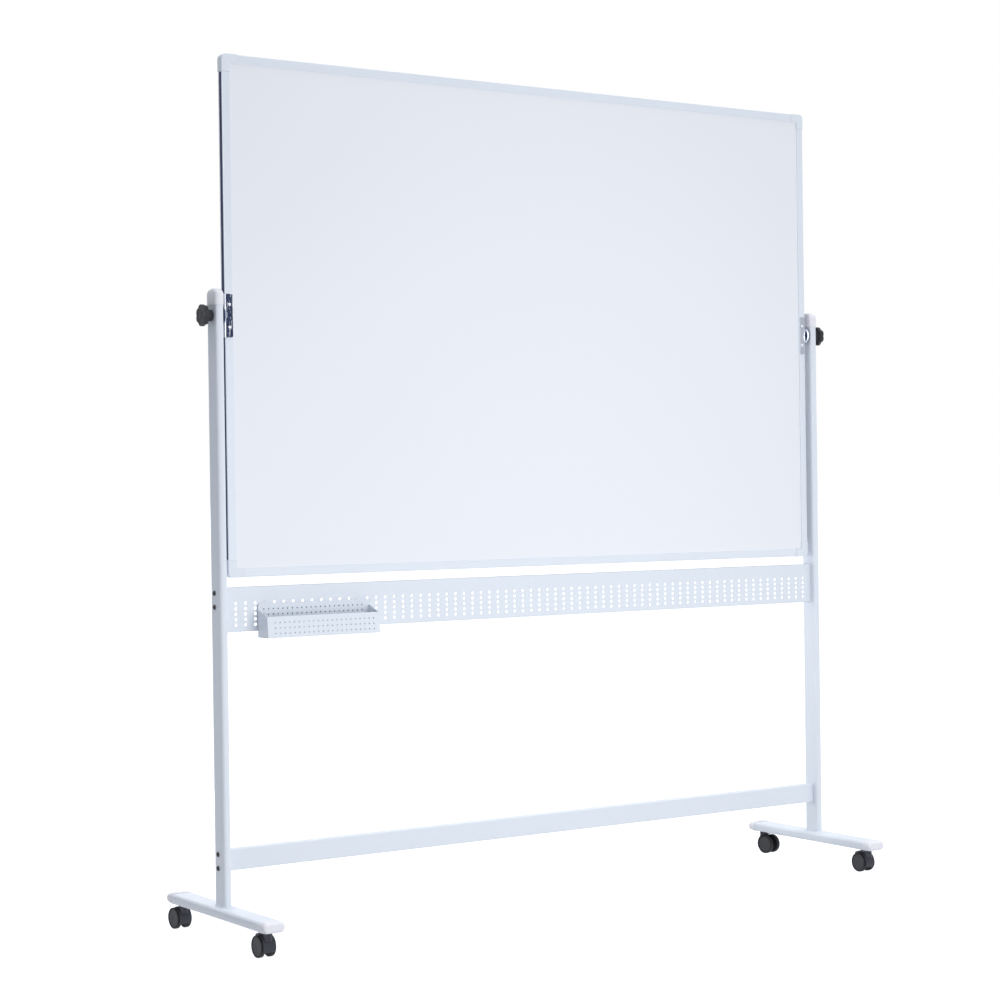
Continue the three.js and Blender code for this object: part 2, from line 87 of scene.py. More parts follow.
def ramp(nt, fac, lo, hi, a, b):
    """fac from lo..hi spread to a..b."""
    r = nt.nodes.new("ShaderNodeMapRange")
    r.inputs["From Min"].default_value = lo
    r.inputs["From Max"].default_value = hi
    r.inputs["To Min"].default_value = a
    r.inputs["To Max"].default_value = b
    nt.links.new(fac, r.inputs["Value"])
    return r.outputs["Result"]


def mix(nt, fac, a, b):
    m = nt.nodes.new("ShaderNodeMix")
    m.data_type = "RGBA"
    for sock, c in ((m.inputs[6], a), (m.inputs[7], b)):
        if isinstance(c, (tuple, list)):
            sock.default_value = (*c, 1.0)
        else:
            nt.links.new(c, sock)
    nt.links.new(fac, m.inputs[0])
    return m.outputs[2]


def bump(nt, height, strength, distance, under=None):
    b = nt.nodes.new("ShaderNodeBump")
    b.inputs["Strength"].default_value = strength
    b.inputs["Distance"].default_value = distance
    nt.links.new(height, b.inputs["Height"])
    if under is not None:
        nt.links.new(under, b.inputs["Normal"])
    return b.outputs["Normal"]


def coating(name, dark, light, rough, grain, depth, metal=0.0, spec=0.5, coat=0.0, coat_rough=0.2,
            tone=4.0, stretch=None, wear=None):
    """Cloudy base tone, uneven roughness and a fine grain."""
    m, nt, b = tree(name)
    cloud = noise(nt, tone, 4.0, 0.6)
    base = mix(nt, ramp(nt, cloud, 0.3, 0.7, 0, 1), dark, light)
    speck = noise(nt, grain * 0.6, 2.0, 0.6, stretch)
    if wear:
        base = mix(nt, ramp(nt, speck, 0.62, 0.78, 0, wear[1]), base, wear[0])
    nt.links.new(base, b.inputs["Base Color"])
    nt.links.new(ramp(nt, noise(nt, grain * 0.13, 3.0, 0.6, stretch), 0.3, 0.7, rough[0], rough[1]),
                 b.inputs["Roughness"])
    fine = bump(nt, noise(nt, grain, 2.0, 0.5, stretch), depth[0], depth[1])
    nt.links.new(fine, b.inputs["Normal"])
    b.inputs["Metallic"].default_value = metal
    b.inputs["Specular IOR Level"].default_value = spec
    b.inputs["Coat Weight"].default_value = coat
    b.inputs["Coat Roughness"].default_value = coat_rough
    return m


# fine orange-peel powder coat, pale blue-white
M_POWDER = coating("powder coat", (0.672, 0.722, 0.792), (0.690, 0.738, 0.806), (0.28, 0.34), 900, (0.03, 0.00005))
# satin anodised extrusion, lines run along each rail
M_RAIL_H = coating("anodised rail, level", (0.690, 0.740, 0.812), (0.708, 0.756, 0.824), (0.28, 0.36), 420,
                   (0.10, 0.0001), metal=0.15, stretch=(0.02, 1.0, 3.0))
M_RAIL_V = coating("anodised rail, upright", (0.690, 0.740, 0.812), (0.708, 0.756, 0.824), (0.28, 0.36), 420,
                   (0.10, 0.0001), metal=0.15, stretch=(3.0, 1.0, 0.02))
M_CAP = coating("white moulded plastic", (0.735, 0.735, 0.795), (0.760, 0.758, 0.810), (0.34, 0.44), 1400,
                (0.12, 0.00012), tone=9.0)
M_CORNER = coating("pale blue moulded plastic", (0.676, 0.722, 0.792), (0.694, 0.740, 0.808), (0.36, 0.46), 1400,
                   (0.10, 0.0001), tone=9.0)
M_BLACK = coating("black moulded plastic", (0.016, 0.016, 0.020), (0.025, 0.025, 0.030), (0.48, 0.62), 1800,
                  (0.25, 0.00012), tone=40.0, spec=0.35, wear=((0.045, 0.045, 0.050), 0.5))
M_HOOD = coating("black caster moulding", (0.024, 0.025, 0.034), (0.033, 0.035, 0.046), (0.42, 0.54), 1600,
                 (0.18, 0.0001), tone=40.0, spec=0.35)
M_DISC = coating("grey-black wheel cover", (0.032, 0.032, 0.036), (0.042, 0.042, 0.047), (0.55, 0.68), 1500,
                 (0.25, 0.00012), tone=50.0, spec=0.35)
M_TYRE = coating("black nylon tread", (0.010, 0.010, 0.011), (0.018, 0.018, 0.020), (0.50, 0.68), 1200,
                 (0.22, 0.00012), tone=60.0, spec=0.25)
M_CHROME = coating("bright plating", (0.56, 0.59, 0.66), (0.64, 0.66, 0.72), (0.05, 0.11), 130, (0.55, 0.0012),
                   metal=1.0, tone=60.0, stretch=(1.0, 1.0, 0.45))
M_ZINC = coating("zinc plating", (0.48, 0.49, 0.51), (0.60, 0.60, 0.60), (0.28, 0.42), 700, (0.15, 0.0002),
                 metal=1.0, tone=120.0)
# painted highlight: rivet heads of bright metal with their colour raised to near white, standing for the small white
# highlights on them
M_RIVET_PAINTED_HIGHLIGHT = coating("rivet with painted highlight", (0.82, 0.84, 0.88), (0.90, 0.91, 0.94), (0.16, 0.26), 900, (0.08, 0.0001),
                  metal=0.5, tone=120.0)
M_SCREW = coating("black oxide steel", (0.022, 0.022, 0.026), (0.036, 0.036, 0.042), (0.30, 0.44), 1500,
                  (0.2, 0.0001), metal=0.6, tone=200.0)
# painted shade: a dark navy colour for strips laid where only shade falls, in the rail slots, in the gaps at the foot
# caps and behind the back of the tray
M_PAINTED_SHADE = coating("painted shade, dark navy", (0.045, 0.052, 0.105), (0.060, 0.068, 0.130), (0.55, 0.70), 900, (0.15, 0.0001),
                  tone=30.0, spec=0.15)
# painted reflection: a dark blue dish colour that stands for the dark reflection the dish shows
M_DISH_DARK_REFLECTION = coating("dish painted with dark reflection", (0.030, 0.050, 0.110), (0.045, 0.070, 0.150), (0.20, 0.32), 600,
                  (0.15, 0.0001), metal=0.6, tone=80.0, spec=0.5)
M_WELD = coating("powder coated weld bead", (0.690, 0.735, 0.800), (0.715, 0.760, 0.822), (0.36, 0.48), 500,
                 (0.4, 0.0004))


def writing_surface():
    """Enamelled steel: a faint orange peel under a hard gloss, and the faintest clouding left by wiping."""
    m, nt, b = tree("dry-wipe enamel")
    wipe = noise(nt, 1.1, 2.0, 0.5, (1.0, 1.0, 1.4))
    base = mix(nt, ramp(nt, wipe, 0.32, 0.68, 0, 1), (0.760, 0.784, 0.837), (0.766, 0.789, 0.840))
    nt.links.new(base, b.inputs["Base Color"])
    nt.links.new(ramp(nt, noise(nt, 14, 5.0, 0.7, (1.0, 1.0, 2.6)), 0.3, 0.7, 0.275, 0.285), b.inputs["Roughness"])
    peel = bump(nt, noise(nt, 420, 2.0, 0.5), 0.02, 0.0002)
    nt.links.new(peel, b.inputs["Normal"])
    b.inputs["Specular IOR Level"].default_value = 0.5
    b.inputs["Coat Weight"].default_value = 0.25
    b.inputs["Coat Roughness"].default_value = 0.12
    return m


def kraft():
    m, nt, b = tree("kraft honeycomb")
    tc = nt.nodes.new("ShaderNodeTexCoord")
    v = nt.nodes.new("ShaderNodeTexVoronoi")
    v.feature = "DISTANCE_TO_EDGE"
    v.inputs["Scale"].default_value = 110
    v.inputs["Randomness"].default_value = 0.2
    nt.links.new(tc.outputs["Object"], v.inputs["Vector"])
    # painted shade: the middle of each cell is dark brown for the shade down the hollow cells, and the kraft colour is
    # kept for the walls
    wall = ramp(nt, v.outputs["Distance"], 0.02, 0.09, 1, 0)
    base = mix(nt, wall, (0.10, 0.07, 0.04), (0.42, 0.30, 0.17))
    nt.links.new(base, b.inputs["Base Color"])
    nt.links.new(bump(nt, wall, 0.6, 0.002), b.inputs["Normal"])
    b.inputs["Roughness"].default_value = 0.85
    return m


M_BOARD = writing_surface()
M_KRAFT = kraft()


# ------------------------------------------------------------------ mesh tools
class Geo:
    def __init__(self):
        self.v, self.f = [], []

    def add(self, verts, faces):
        n = len(self.v)
        self.v += [tuple(p) for p in verts]
        self.f += [tuple(i + n for i in q) for q in faces]
        return self

    def join(self, other):
        return self.add(other.v, other.f)

    def map(self, fn):
        g = Geo()
        g.v = [fn(*p) for p in self.v]
        g.f = list(self.f)
        return g


def fillet(points, radii, seg=5):
    """A closed outline with its corners rounded."""
    out, n = [], len(points)
    for i, p in enumerate(points):
        r = radii[i] if isinstance(radii, (list, tuple)) else radii
        if r <= 0:
            out.append((p[0], p[1]))
            continue
        p = Vector(p)
        a, b = Vector(points[i - 1]) - p, Vector(points[(i + 1) % n]) - p
        la, lb = a.length, b.length
        a.normalize(), b.normalize()
        half = a.angle(b) / 2
        t = min(r / math.tan(half), la * 0.499, lb * 0.499)
        rr = t * math.tan(half)
        c = p + (a + b).normalized() * (rr / math.sin(half))
        s, e = p + a * t - c, p + b * t - c
        a0, a1 = math.atan2(s.y, s.x), math.atan2(e.y, e.x)
        d = (a1 - a0 + pi) % (2 * pi) - pi
        for k in range(seg + 1):
            q = a0 + d * k / seg
            out.append((c.x + rr * math.cos(q), c.y + rr * math.sin(q)))
    return out


def section(w, h, r, n=12):
    """Rectangular outline with rounded corners, centred, always the same number of points."""
    r, pts = min(r, w / 2 - 0.05, h / 2 - 0.05), []
    for sx, sy, a0 in ((1, 1, 0), (-1, 1, 90), (-1, -1, 180), (1, -1, 270)):
        for i in range(n + 1):
            a = rad(a0 + 90 * i / n)
            pts.append((sx * (w / 2 - r) + r * math.cos(a), sy * (h / 2 - r) + r * math.sin(a)))
    return pts


def loft(rings, caps=(True, True), closed=False):
    """Skin through rings of points, each ring a list of 3-D points of the same number."""
    g, n = Geo(), len(rings[0])
    verts = [p for r in rings for p in r]
    faces, m = [], len(rings)
    for k in range(m if closed else m - 1):
        a0, b0 = k * n, ((k + 1) % m) * n
        for i in range(n):
            j = (i + 1) % n
            faces.append((a0 + i, a0 + j, b0 + j, b0 + i))
    if not closed and caps[0]:
        faces.append(tuple(reversed(range(n))))
    if not closed and caps[1]:
        faces.append(tuple((m - 1) * n + i for i in range(n)))
    return g.add(verts, faces)


def extrude(outline, a0, a1, steps=1):
    """Outline in the first two axes, extruded along the third."""
    return loft([[(u, v, a0 + (a1 - a0) * k / steps) for u, v in outline] for k in range(steps + 1)])


def tube(outer, inner, a0, a1):
    """Hollow section with open ends."""
    return loft([[(u, v, a0) for u, v in outer], [(u, v, a1) for u, v in outer],
                 [(u, v, a1) for u, v in inner], [(u, v, a0) for u, v in inner]], closed=True)


def lathe(profile, n=48, closed=False):
    """Profile of (radius, position), turned round the first axis: points are (position, y, z)."""
    g, idx, verts = Geo(), [], []
    for r, a in profile:
        if r < 1e-6:
            idx.append([len(verts)])
            verts.append((a, 0.0, 0.0))
        else:
            idx.append(list(range(len(verts), len(verts) + n)))
            verts += [(a, r * math.cos(2 * pi * i / n), r * math.sin(2 * pi * i / n)) for i in range(n)]
    faces = []
    pairs = list(zip(idx, idx[1:])) + ([(idx[-1], idx[0])] if closed else [])
    for p, q in pairs:
        for i in range(n):
            j = (i + 1) % n
            if len(p) == 1 and len(q) == 1:
                break
            if len(p) == 1:
                faces.append((p[0], q[j], q[i]))
            elif len(q) == 1:
                faces.append((p[i], p[j], q[0]))
            else:
                faces.append((p[i], p[j], q[j], q[i]))
    return g.add(verts, faces)


def arc(cr, ca, r, d0, d1, n=6):
    """Part of a turned profile: an arc about (cr, ca), degrees, as (radius, position)."""
    return [(cr + r * math.cos(rad(d0 + (d1 - d0) * k / n)), ca + r * math.sin(rad(d0 + (d1 - d0) * k / n)))
            for k in range(n + 1)]


def box(x0, x1, y0, y1, z0, z1):
    return extrude([(x0, y0), (x1, y0), (x1, y1), (x0, y1)], z0, z1)


def mesh_of(name, g, weld=1e-4):
    me = bpy.data.meshes.new(name)
    me.from_pydata([(x / 1000, y / 1000, z / 1000) for x, y, z in g.v], [], g.f)
    bm = bmesh.new()
    bm.from_mesh(me)
    bmesh.ops.remove_doubles(bm, verts=bm.verts, dist=weld / 1000)
    bmesh.ops.dissolve_degenerate(bm, dist=1e-7, edges=bm.edges)
    bmesh.ops.recalc_face_normals(bm, faces=bm.faces)
    bm.to_mesh(me)
    bm.free()
    return me


def link(name, g, weld=1e-4):
    ob = bpy.data.objects.new(name, mesh_of(name, g, weld))
    scene.collection.objects.link(ob)
    return ob


def settle(ob):
    """Applies the modifiers to the mesh."""
    dg = bpy.context.evaluated_depsgraph_get()
    new = bpy.data.meshes.new_from_object(ob.evaluated_get(dg))
    old = ob.data
    ob.modifiers.clear()
    ob.data = new
    bpy.data.meshes.remove(old)
    return ob


def carve(ob, geos, operation="DIFFERENCE"):
    for g in geos:
        tool = link("tool", g)
        m = ob.modifiers.new("b", "BOOLEAN")
        m.solver = "EXACT"
        m.operation = operation
        m.object = tool
        settle(ob)
        data = tool.data
        bpy.data.objects.remove(tool)
        bpy.data.meshes.remove(data)
    return ob


def bevel(ob, width, seg=3, angle=35):
    m = ob.modifiers.new("bevel", "BEVEL")
    m.width = width / 1000
    m.segments = seg
    m.limit_method = "ANGLE"
    m.angle_limit = rad(angle)
    m.use_clamp_overlap = True
    return settle(ob)


def dress(ob, mat, body, nodes=(), sharp=32):
    me = ob.data
    me.materials.clear()
    me.materials.append(mat)
    me.polygons.foreach_set("use_smooth", [True] * len(me.polygons))
    me.polygons.foreach_set("material_index", [0] * len(me.polygons))
    me.set_sharp_from_angle(angle=rad(sharp))
    w = ob.modifiers.new("n", "WEIGHTED_NORMAL")
    w.keep_sharp = True
    w.weight = 50
    settle(ob)
    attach(ob, body)
    if nodes:
        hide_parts(*nodes)
    return ob


def piece(name, g, mat, body, nodes=(), sharp=32, width=0.0, seg=3, angle=35):
    ob = link(name, g)
    if width:
        bevel(ob, width, seg, angle)
    return dress(ob, mat, body, nodes, sharp)


def perforated(us, vs, cells, centre, pitch, seg, radius, thick, lip=0.2, top=None):
    """Flat sheet with round holes, front at w = 0 and back at w = thick.
    us and vs are the extra grid lines outside the cells on each side, (before, after).
    Returns the sheet without its edge walls, with the lists of grid lines in u and v."""
    (nu, nv), (pu, pv), (su, sv) = cells, pitch, seg
    g = Geo()
    u0, v0 = centre[0] - pu / 2, centre[1] - pv / 2
    gu = [u0 + pu * k / su for k in range(nu * su + 1)]
    gv = [v0 + pv * k / sv for k in range(nv * sv + 1)]
    U, V = list(us[0]) + gu + list(us[1]), list(vs[0]) + gv + list(vs[1])
    lift = top or (lambda u, v: v)
    n = 2 * (su + sv)
    ring = [(0.5, k / sv) for k in range(0, sv // 2)]
    ring += [(0.5 - k / su, 0.5) for k in range(su)]
    ring += [(-0.5, 0.5 - k / sv) for k in range(sv)]
    ring += [(-0.5 + k / su, -0.5) for k in range(su)]
    ring += [(0.5, -0.5 + k / sv) for k in range(sv // 2)]
    for i in range(nu):
        for j in range(nv):
            cx, cy = centre[0] + i * pu, centre[1] + j * pv
            circle = [(math.cos(2 * pi * k / n), math.sin(2 * pi * k / n)) for k in range(n)]
            square = [(cx + a * pu, cy + b * pv) for a, b in ring]
            rings = [[(u, v, 0) for u, v in square],
                     [(cx + (radius + lip) * a, cy + (radius + lip) * b, 0) for a, b in circle],
                     [(cx + radius * a, cy + radius * b, lip) for a, b in circle],
                     [(cx + radius * a, cy + radius * b, thick) for a, b in circle],
                     [(u, v, thick) for u, v in square]]
            g.join(loft(rings, caps=(False, False)))
    inside_u = (len(us[0]), len(us[0]) + len(gu) - 1)
    inside_v = (len(vs[0]), len(vs[0]) + len(gv) - 1)
    for a in range(len(U) - 1):
        for b in range(len(V) - 1):
            if inside_u[0] <= a < inside_u[1] and inside_v[0] <= b < inside_v[1]:
                continue
            c = [(U[a], V[b]), (U[a + 1], V[b]), (U[a + 1], V[b + 1]), (U[a], V[b + 1])]
            c = [(u, lift(u, v)) for u, v in c]
            g.add([(u, v, 0) for u, v in c], [(0, 1, 2, 3)])
            g.add([(u, v, thick) for u, v in c], [(3, 2, 1, 0)])
    return g, U, V


def strip(U, outer, inner):
    """A folded edge: paths of (v, w) for the outer and inner skins, swept over the grid lines U."""
    g = Geo()
    for path, flip in ((outer, False), (inner, True)):
        verts = [(u, v, w) for v, w in path for u in U]
        m, faces = len(U), []
        for k in range(len(path) - 1):
            for i in range(m - 1):
                q = (k * m + i, k * m + i + 1, (k + 1) * m + i + 1, (k + 1) * m + i)
                faces.append(tuple(reversed(q)) if flip else q)
        g.add(verts, faces)
    (v0, w0), (v1, w1) = outer[-1], inner[-1]
    for a, b in zip(U, U[1:]):
        g.add([(a, v0, w0), (b, v0, w0), (b, v1, w1), (a, v1, w1)], [(0, 1, 2, 3)])
    for u in (U[0], U[-1]):
        for k in range(len(outer) - 1):
            a, b, c, d = outer[k], outer[k + 1], inner[k + 1], inner[k]
            g.add([(u, *a), (u, *b), (u, *c), (u, *d)], [(0, 1, 2, 3)])
    return g


# ------------------------------------------------------------------ board
def sheet(y_face, y_back):
    """Steel face: flat to a few hundredths of a millimetre, as a bonded sheet is."""
    nx, nz, w, h = 96, 66, 873.5, 593.5
    front, back = [], []
    for j in range(nz + 1):
        for i in range(nx + 1):
            x, z = -w + 2 * w * i / nx, -h + 2 * h * j / nz
            edge = min(1.0, (w - abs(x)) / 60) * min(1.0, (h - abs(z)) / 60)
            d = 0.05 * edge * (math.sin(x / 131 + 0.7) * math.cos(z / 97) + 0.6 * math.sin(z / 61 + x / 210))
            front.append((x, y_face + d * 0.6, z + BOARD_Z))
            back.append((x, y_back, z + BOARD_Z))
    g, m = Geo(), nx + 1
    n = len(front)
    faces = []
    for j in range(nz):
        for i in range(nx):
            a = j * m + i
            faces.append((a, a + 1, a + m + 1, a + m))
            faces.append((n + a + m, n + a + m + 1, n + a + 1, n + a))
    rim = [i for i in range(nx)] + [j * m + nx for j in range(nz)] + \
          [nz * m + i for i in range(nx, 0, -1)] + [j * m for j in range(nz, 0, -1)]
    for a, b in zip(rim, rim[1:] + rim[:1]):
        faces.append((b, a, n + a, n + b))
    return g.add(front + back, faces)


piece("face_sheet_front_skin", sheet(-8.0, -7.5), M_BOARD, "board", ["face_sheet_front"])
piece("face_sheet_rear_skin", sheet(8.0, 7.5), M_BOARD, "board", ["face_sheet_rear"])

V0 = 8.2
RAIL = fillet(
    [(0, 6.4), (0, 10), (20, 10), (20, V0), (6, V0), (6, -V0), (20, -V0), (20, -10), (0, -10), (0, -6.4),
     (1.6, -6.4), (1.6, -V0), (4.2, -V0), (4.2, V0), (1.6, V0), (1.6, 6.4)],
    [0.5, 3.0, 0.8, 0.3, 0.3, 0.3, 0.3, 0.8, 3.0, 0.5, 0.5, 0.3, 0.3, 0.3, 0.3, 0.5], 6)
# painted shade: a dark strip in each rail's channel behind the lips, standing for the shade inside the slot
SLOT_SHADE_OUTLINE = fillet([(1.75, 8.0), (1.75, -8.0), (2.35, -8.0), (2.35, 8.0)], [0.2, 0.2, 0.2, 0.2], 3)
LH, LV = 839.7, 559.7
for name, fn, length, m in (
    ("left", lambda u, v, w: (-BOARD_HX + u, v, BOARD_Z + w), LV, M_RAIL_V),
    ("right", lambda u, v, w: (BOARD_HX - u, -v, BOARD_Z + w), LV, M_RAIL_V),
    ("bottom", lambda u, v, w: (-w, v, BOARD_Z - BOARD_HZ + u), LH, M_RAIL_H),
    ("top", lambda u, v, w: (w, v, BOARD_Z + BOARD_HZ - u), LH, M_RAIL_H),
):
    piece(f"rail_{name}_profile", extrude(RAIL, -length, length, 1).map(fn), m, "board",
          [f"rail_{name}"], sharp=25)
    # painted shade strip in the slot
    piece(f"rail_{name}_slot_painted_shade", extrude(SLOT_SHADE_OUTLINE, -length + 0.4, length - 0.4, 1).map(fn), M_PAINTED_SHADE, "board",
          sharp=25)


def corner_cap(name, turn, x, z):
    o = -0.7
    pts = fillet([(o, o), (40, o), (40, 21), (21, 21), (21, 40), (o, 40)], [11.0, 0.6, 0.6, 2.2, 0.6, 0.6], 6)
    body = link("cap", extrude(pts, -10.7, 10.7).map(lambda u, w, v: (u, v, w)))
    bevel(body, 0.9, 4, 50)
    carve(body, [box(6.2, 200, -8.3, 8.3, 6.2, 200)])
    carve(body, [box(36, 58, -7.7, 7.7, 2.5, 4.0), box(2.5, 4.0, -7.7, 7.7, 36, 58)], "UNION")
    c, s = round(math.cos(turn * pi / 2)), round(math.sin(turn * pi / 2))
    for v in body.data.vertices:
        a, b, w = v.co
        v.co = (c * a - s * w + x / 1000, b, s * a + c * w + (z + BOARD_Z) / 1000)
    body.name = name + "_moulding"
    dress(body, M_CORNER, "board", [name], sharp=38)


corner_cap("corner_cap_bottom_left", 0, -BOARD_HX, -BOARD_HZ)
corner_cap("corner_cap_bottom_right", 1, BOARD_HX, -BOARD_HZ)
corner_cap("corner_cap_top_right", 2, BOARD_HX, BOARD_HZ)
corner_cap("corner_cap_top_left", 3, -BOARD_HX, BOARD_HZ)


# ------------------------------------------------------------------ pivots
def strap():
    xi, xo, x0 = 880.3, 882.7, 861.2
    prof = fillet([(x0, -12), (xo, -12), (xo, 12), (x0, 12), (x0, 10.3), (xi, 10.3), (xi, -10.3), (x0, -10.3)],
                  [0.3, 4.4, 4.4, 0.3, 0.3, 2.4, 2.4, 0.3], 10)
    ob = link("strap", extrude(prof, BOARD_Z - 50, BOARD_Z + 50))
    rim = fillet([(x0, BOARD_Z - 50), (900, BOARD_Z - 50), (900, BOARD_Z + 50), (x0, BOARD_Z + 50)],
                 [4.5, 0, 0, 4.5], 6)
    carve(ob, [extrude(rim, -20, 20).map(lambda x, z, y: (x, y, z))], "INTERSECT")
    return bevel(ob, 0.25, 2, 60)


DOME = [(0, 1.35)] + [(3.5 * math.sin(rad(a)), 1.35 * math.cos(rad(a))) for a in (18, 36, 52, 66, 78, 88)] + \
       [(3.55, -0.2), (0, -0.2)]
for side, s in (("right", 1), ("left", -1)):
    ob = strap()
    if s < 0:
        for v in ob.data.vertices:
            v.co = (-v.co.x, -v.co.y, v.co.z)
    ob.name = f"pivot_bracket_{side}_strap"
    dress(ob, M_CHROME, "board", [f"pivot_bracket_{side}"], sharp=40)
    heads = Geo()
    for dz in (26, -26):
        for face in (1, -1):
            heads.join(lathe(DOME, 24).map(
                lambda a, b, c, dz=dz, face=face: (s * 869.5 + b, face * (12.0 + a), BOARD_Z + dz + c)))
    # rivet heads with a painted highlight in their colour
    piece(f"bracket_rivets_{side}", heads, M_RIVET_PAINTED_HIGHLIGHT, "board", sharp=40)
    # threaded stud: fine ridges for the thread
    prof = [(0, 881.2), (4.6, 881.2), (4.6, 882.9), (4.0, 883.4), (4.0, 909)]
    k = 909.6
    while k < 927.4:
        prof += [(3.65, k), (4.0, k + 0.6)]
        k += 1.25
    prof += [(3.3, 929), (0, 929)]
    stud = lathe(prof, 24).map(lambda a, b, c: (s * a, b, BOARD_Z + c))
    piece(f"pivot_stud_{side}", stud, M_ZINC, "board", sharp=50)
    # dished washer: bright rolled rim round a dish that is flat in the middle; the dish is coloured dark blue as a
    # painted reflection
    rim = [(17.4, 883.0), (21.5, 883.0)] + arc(21.6, 883.9, 0.9, -80, 80, 8) + [(21.2, 884.85), (17.4, 884.85)]
    ring = lathe(rim, 64, closed=True).map(lambda a, b, c: (s * a, b, BOARD_Z + c))
    piece(f"friction_disc_{side}_rim", ring, M_CHROME, "board", [f"friction_disc_{side}"], sharp=40)
    prof = [(4.6, 883.1), (17.38, 883.1), (17.38, 884.9), (22.0, 884.9), (22.0, 885.9), (20.4, 887.2), (18.4, 888.6),
            (16.4, 889.5), (14.6, 889.7), (4.6, 889.7)]
    dish = lathe(fillet(prof, [0.3, 0.0, 0.0, 0.3, 0.4, 0.4, 0.4, 0.4, 0.4, 0.3], 3), 64, closed=True).map(
        lambda a, b, c: (s * a, b, BOARD_Z + c))
    piece(f"friction_disc_{side}_dish", dish, M_DISH_DARK_REFLECTION, "board", sharp=40)


def knob_geo():
    """Seven-lobed head with a rolled edge, a dished face, a tapered back and a plain round hub."""
    n = 112

    def lobes(k, x, deep=1.0):
        # broad lobes with narrow valleys between them
        out = []
        for i in range(n):
            a = 2 * pi * i / n
            c = 0.5 + 0.5 * math.cos(7 * a)
            r = k * (23.4 + deep * (3.3 * c ** 0.55 - 1.2))
            out.append((x, r * math.cos(a), r * math.sin(a)))
        return out

    def plain(r, x):
        return [(x, r * math.cos(2 * pi * i / n), r * math.sin(2 * pi * i / n)) for i in range(n)]
    rings = [plain(4.5, 910.3), plain(11.6, 910.3), plain(12.6, 911.0), plain(13.1, 912.2), plain(13.5, 914.5),
             plain(13.5, 921.5), plain(14.0, 923.4), lobes(0.66, 924.6, 0.3), lobes(0.84, 925.2, 0.7),
             lobes(0.95, 926.3), lobes(0.99, 927.6), lobes(1.0, 929.4), lobes(1.0, 934.6),
             lobes(0.985, 936.2), lobes(0.95, 937.3), lobes(0.90, 937.85), lobes(0.84, 938.0, 0.9),
             lobes(0.74, 937.9, 0.7), lobes(0.66, 937.4, 0.4), plain(13.6, 936.9), plain(9.4, 936.7),
             plain(9.0, 937.2), plain(8.2, 937.5), plain(1.0, 937.7)]
    g = loft(rings, caps=(False, True))
    # the bore for the stud
    bore = [plain(4.5, 910.3), plain(4.4, 911), plain(4.4, 930.5), plain(3.0, 931.5)]
    g.join(loft(bore, caps=(False, True)))
    return g


for side, s in (("right", 1), ("left", -1)):
    g = knob_geo().map(lambda a, b, c: (s * a, s * b, BOARD_Z + c))
    piece(f"knob_{side}_lobed", g, M_BLACK, f"knob_{side}", [f"knob_{side}"], sharp=50)

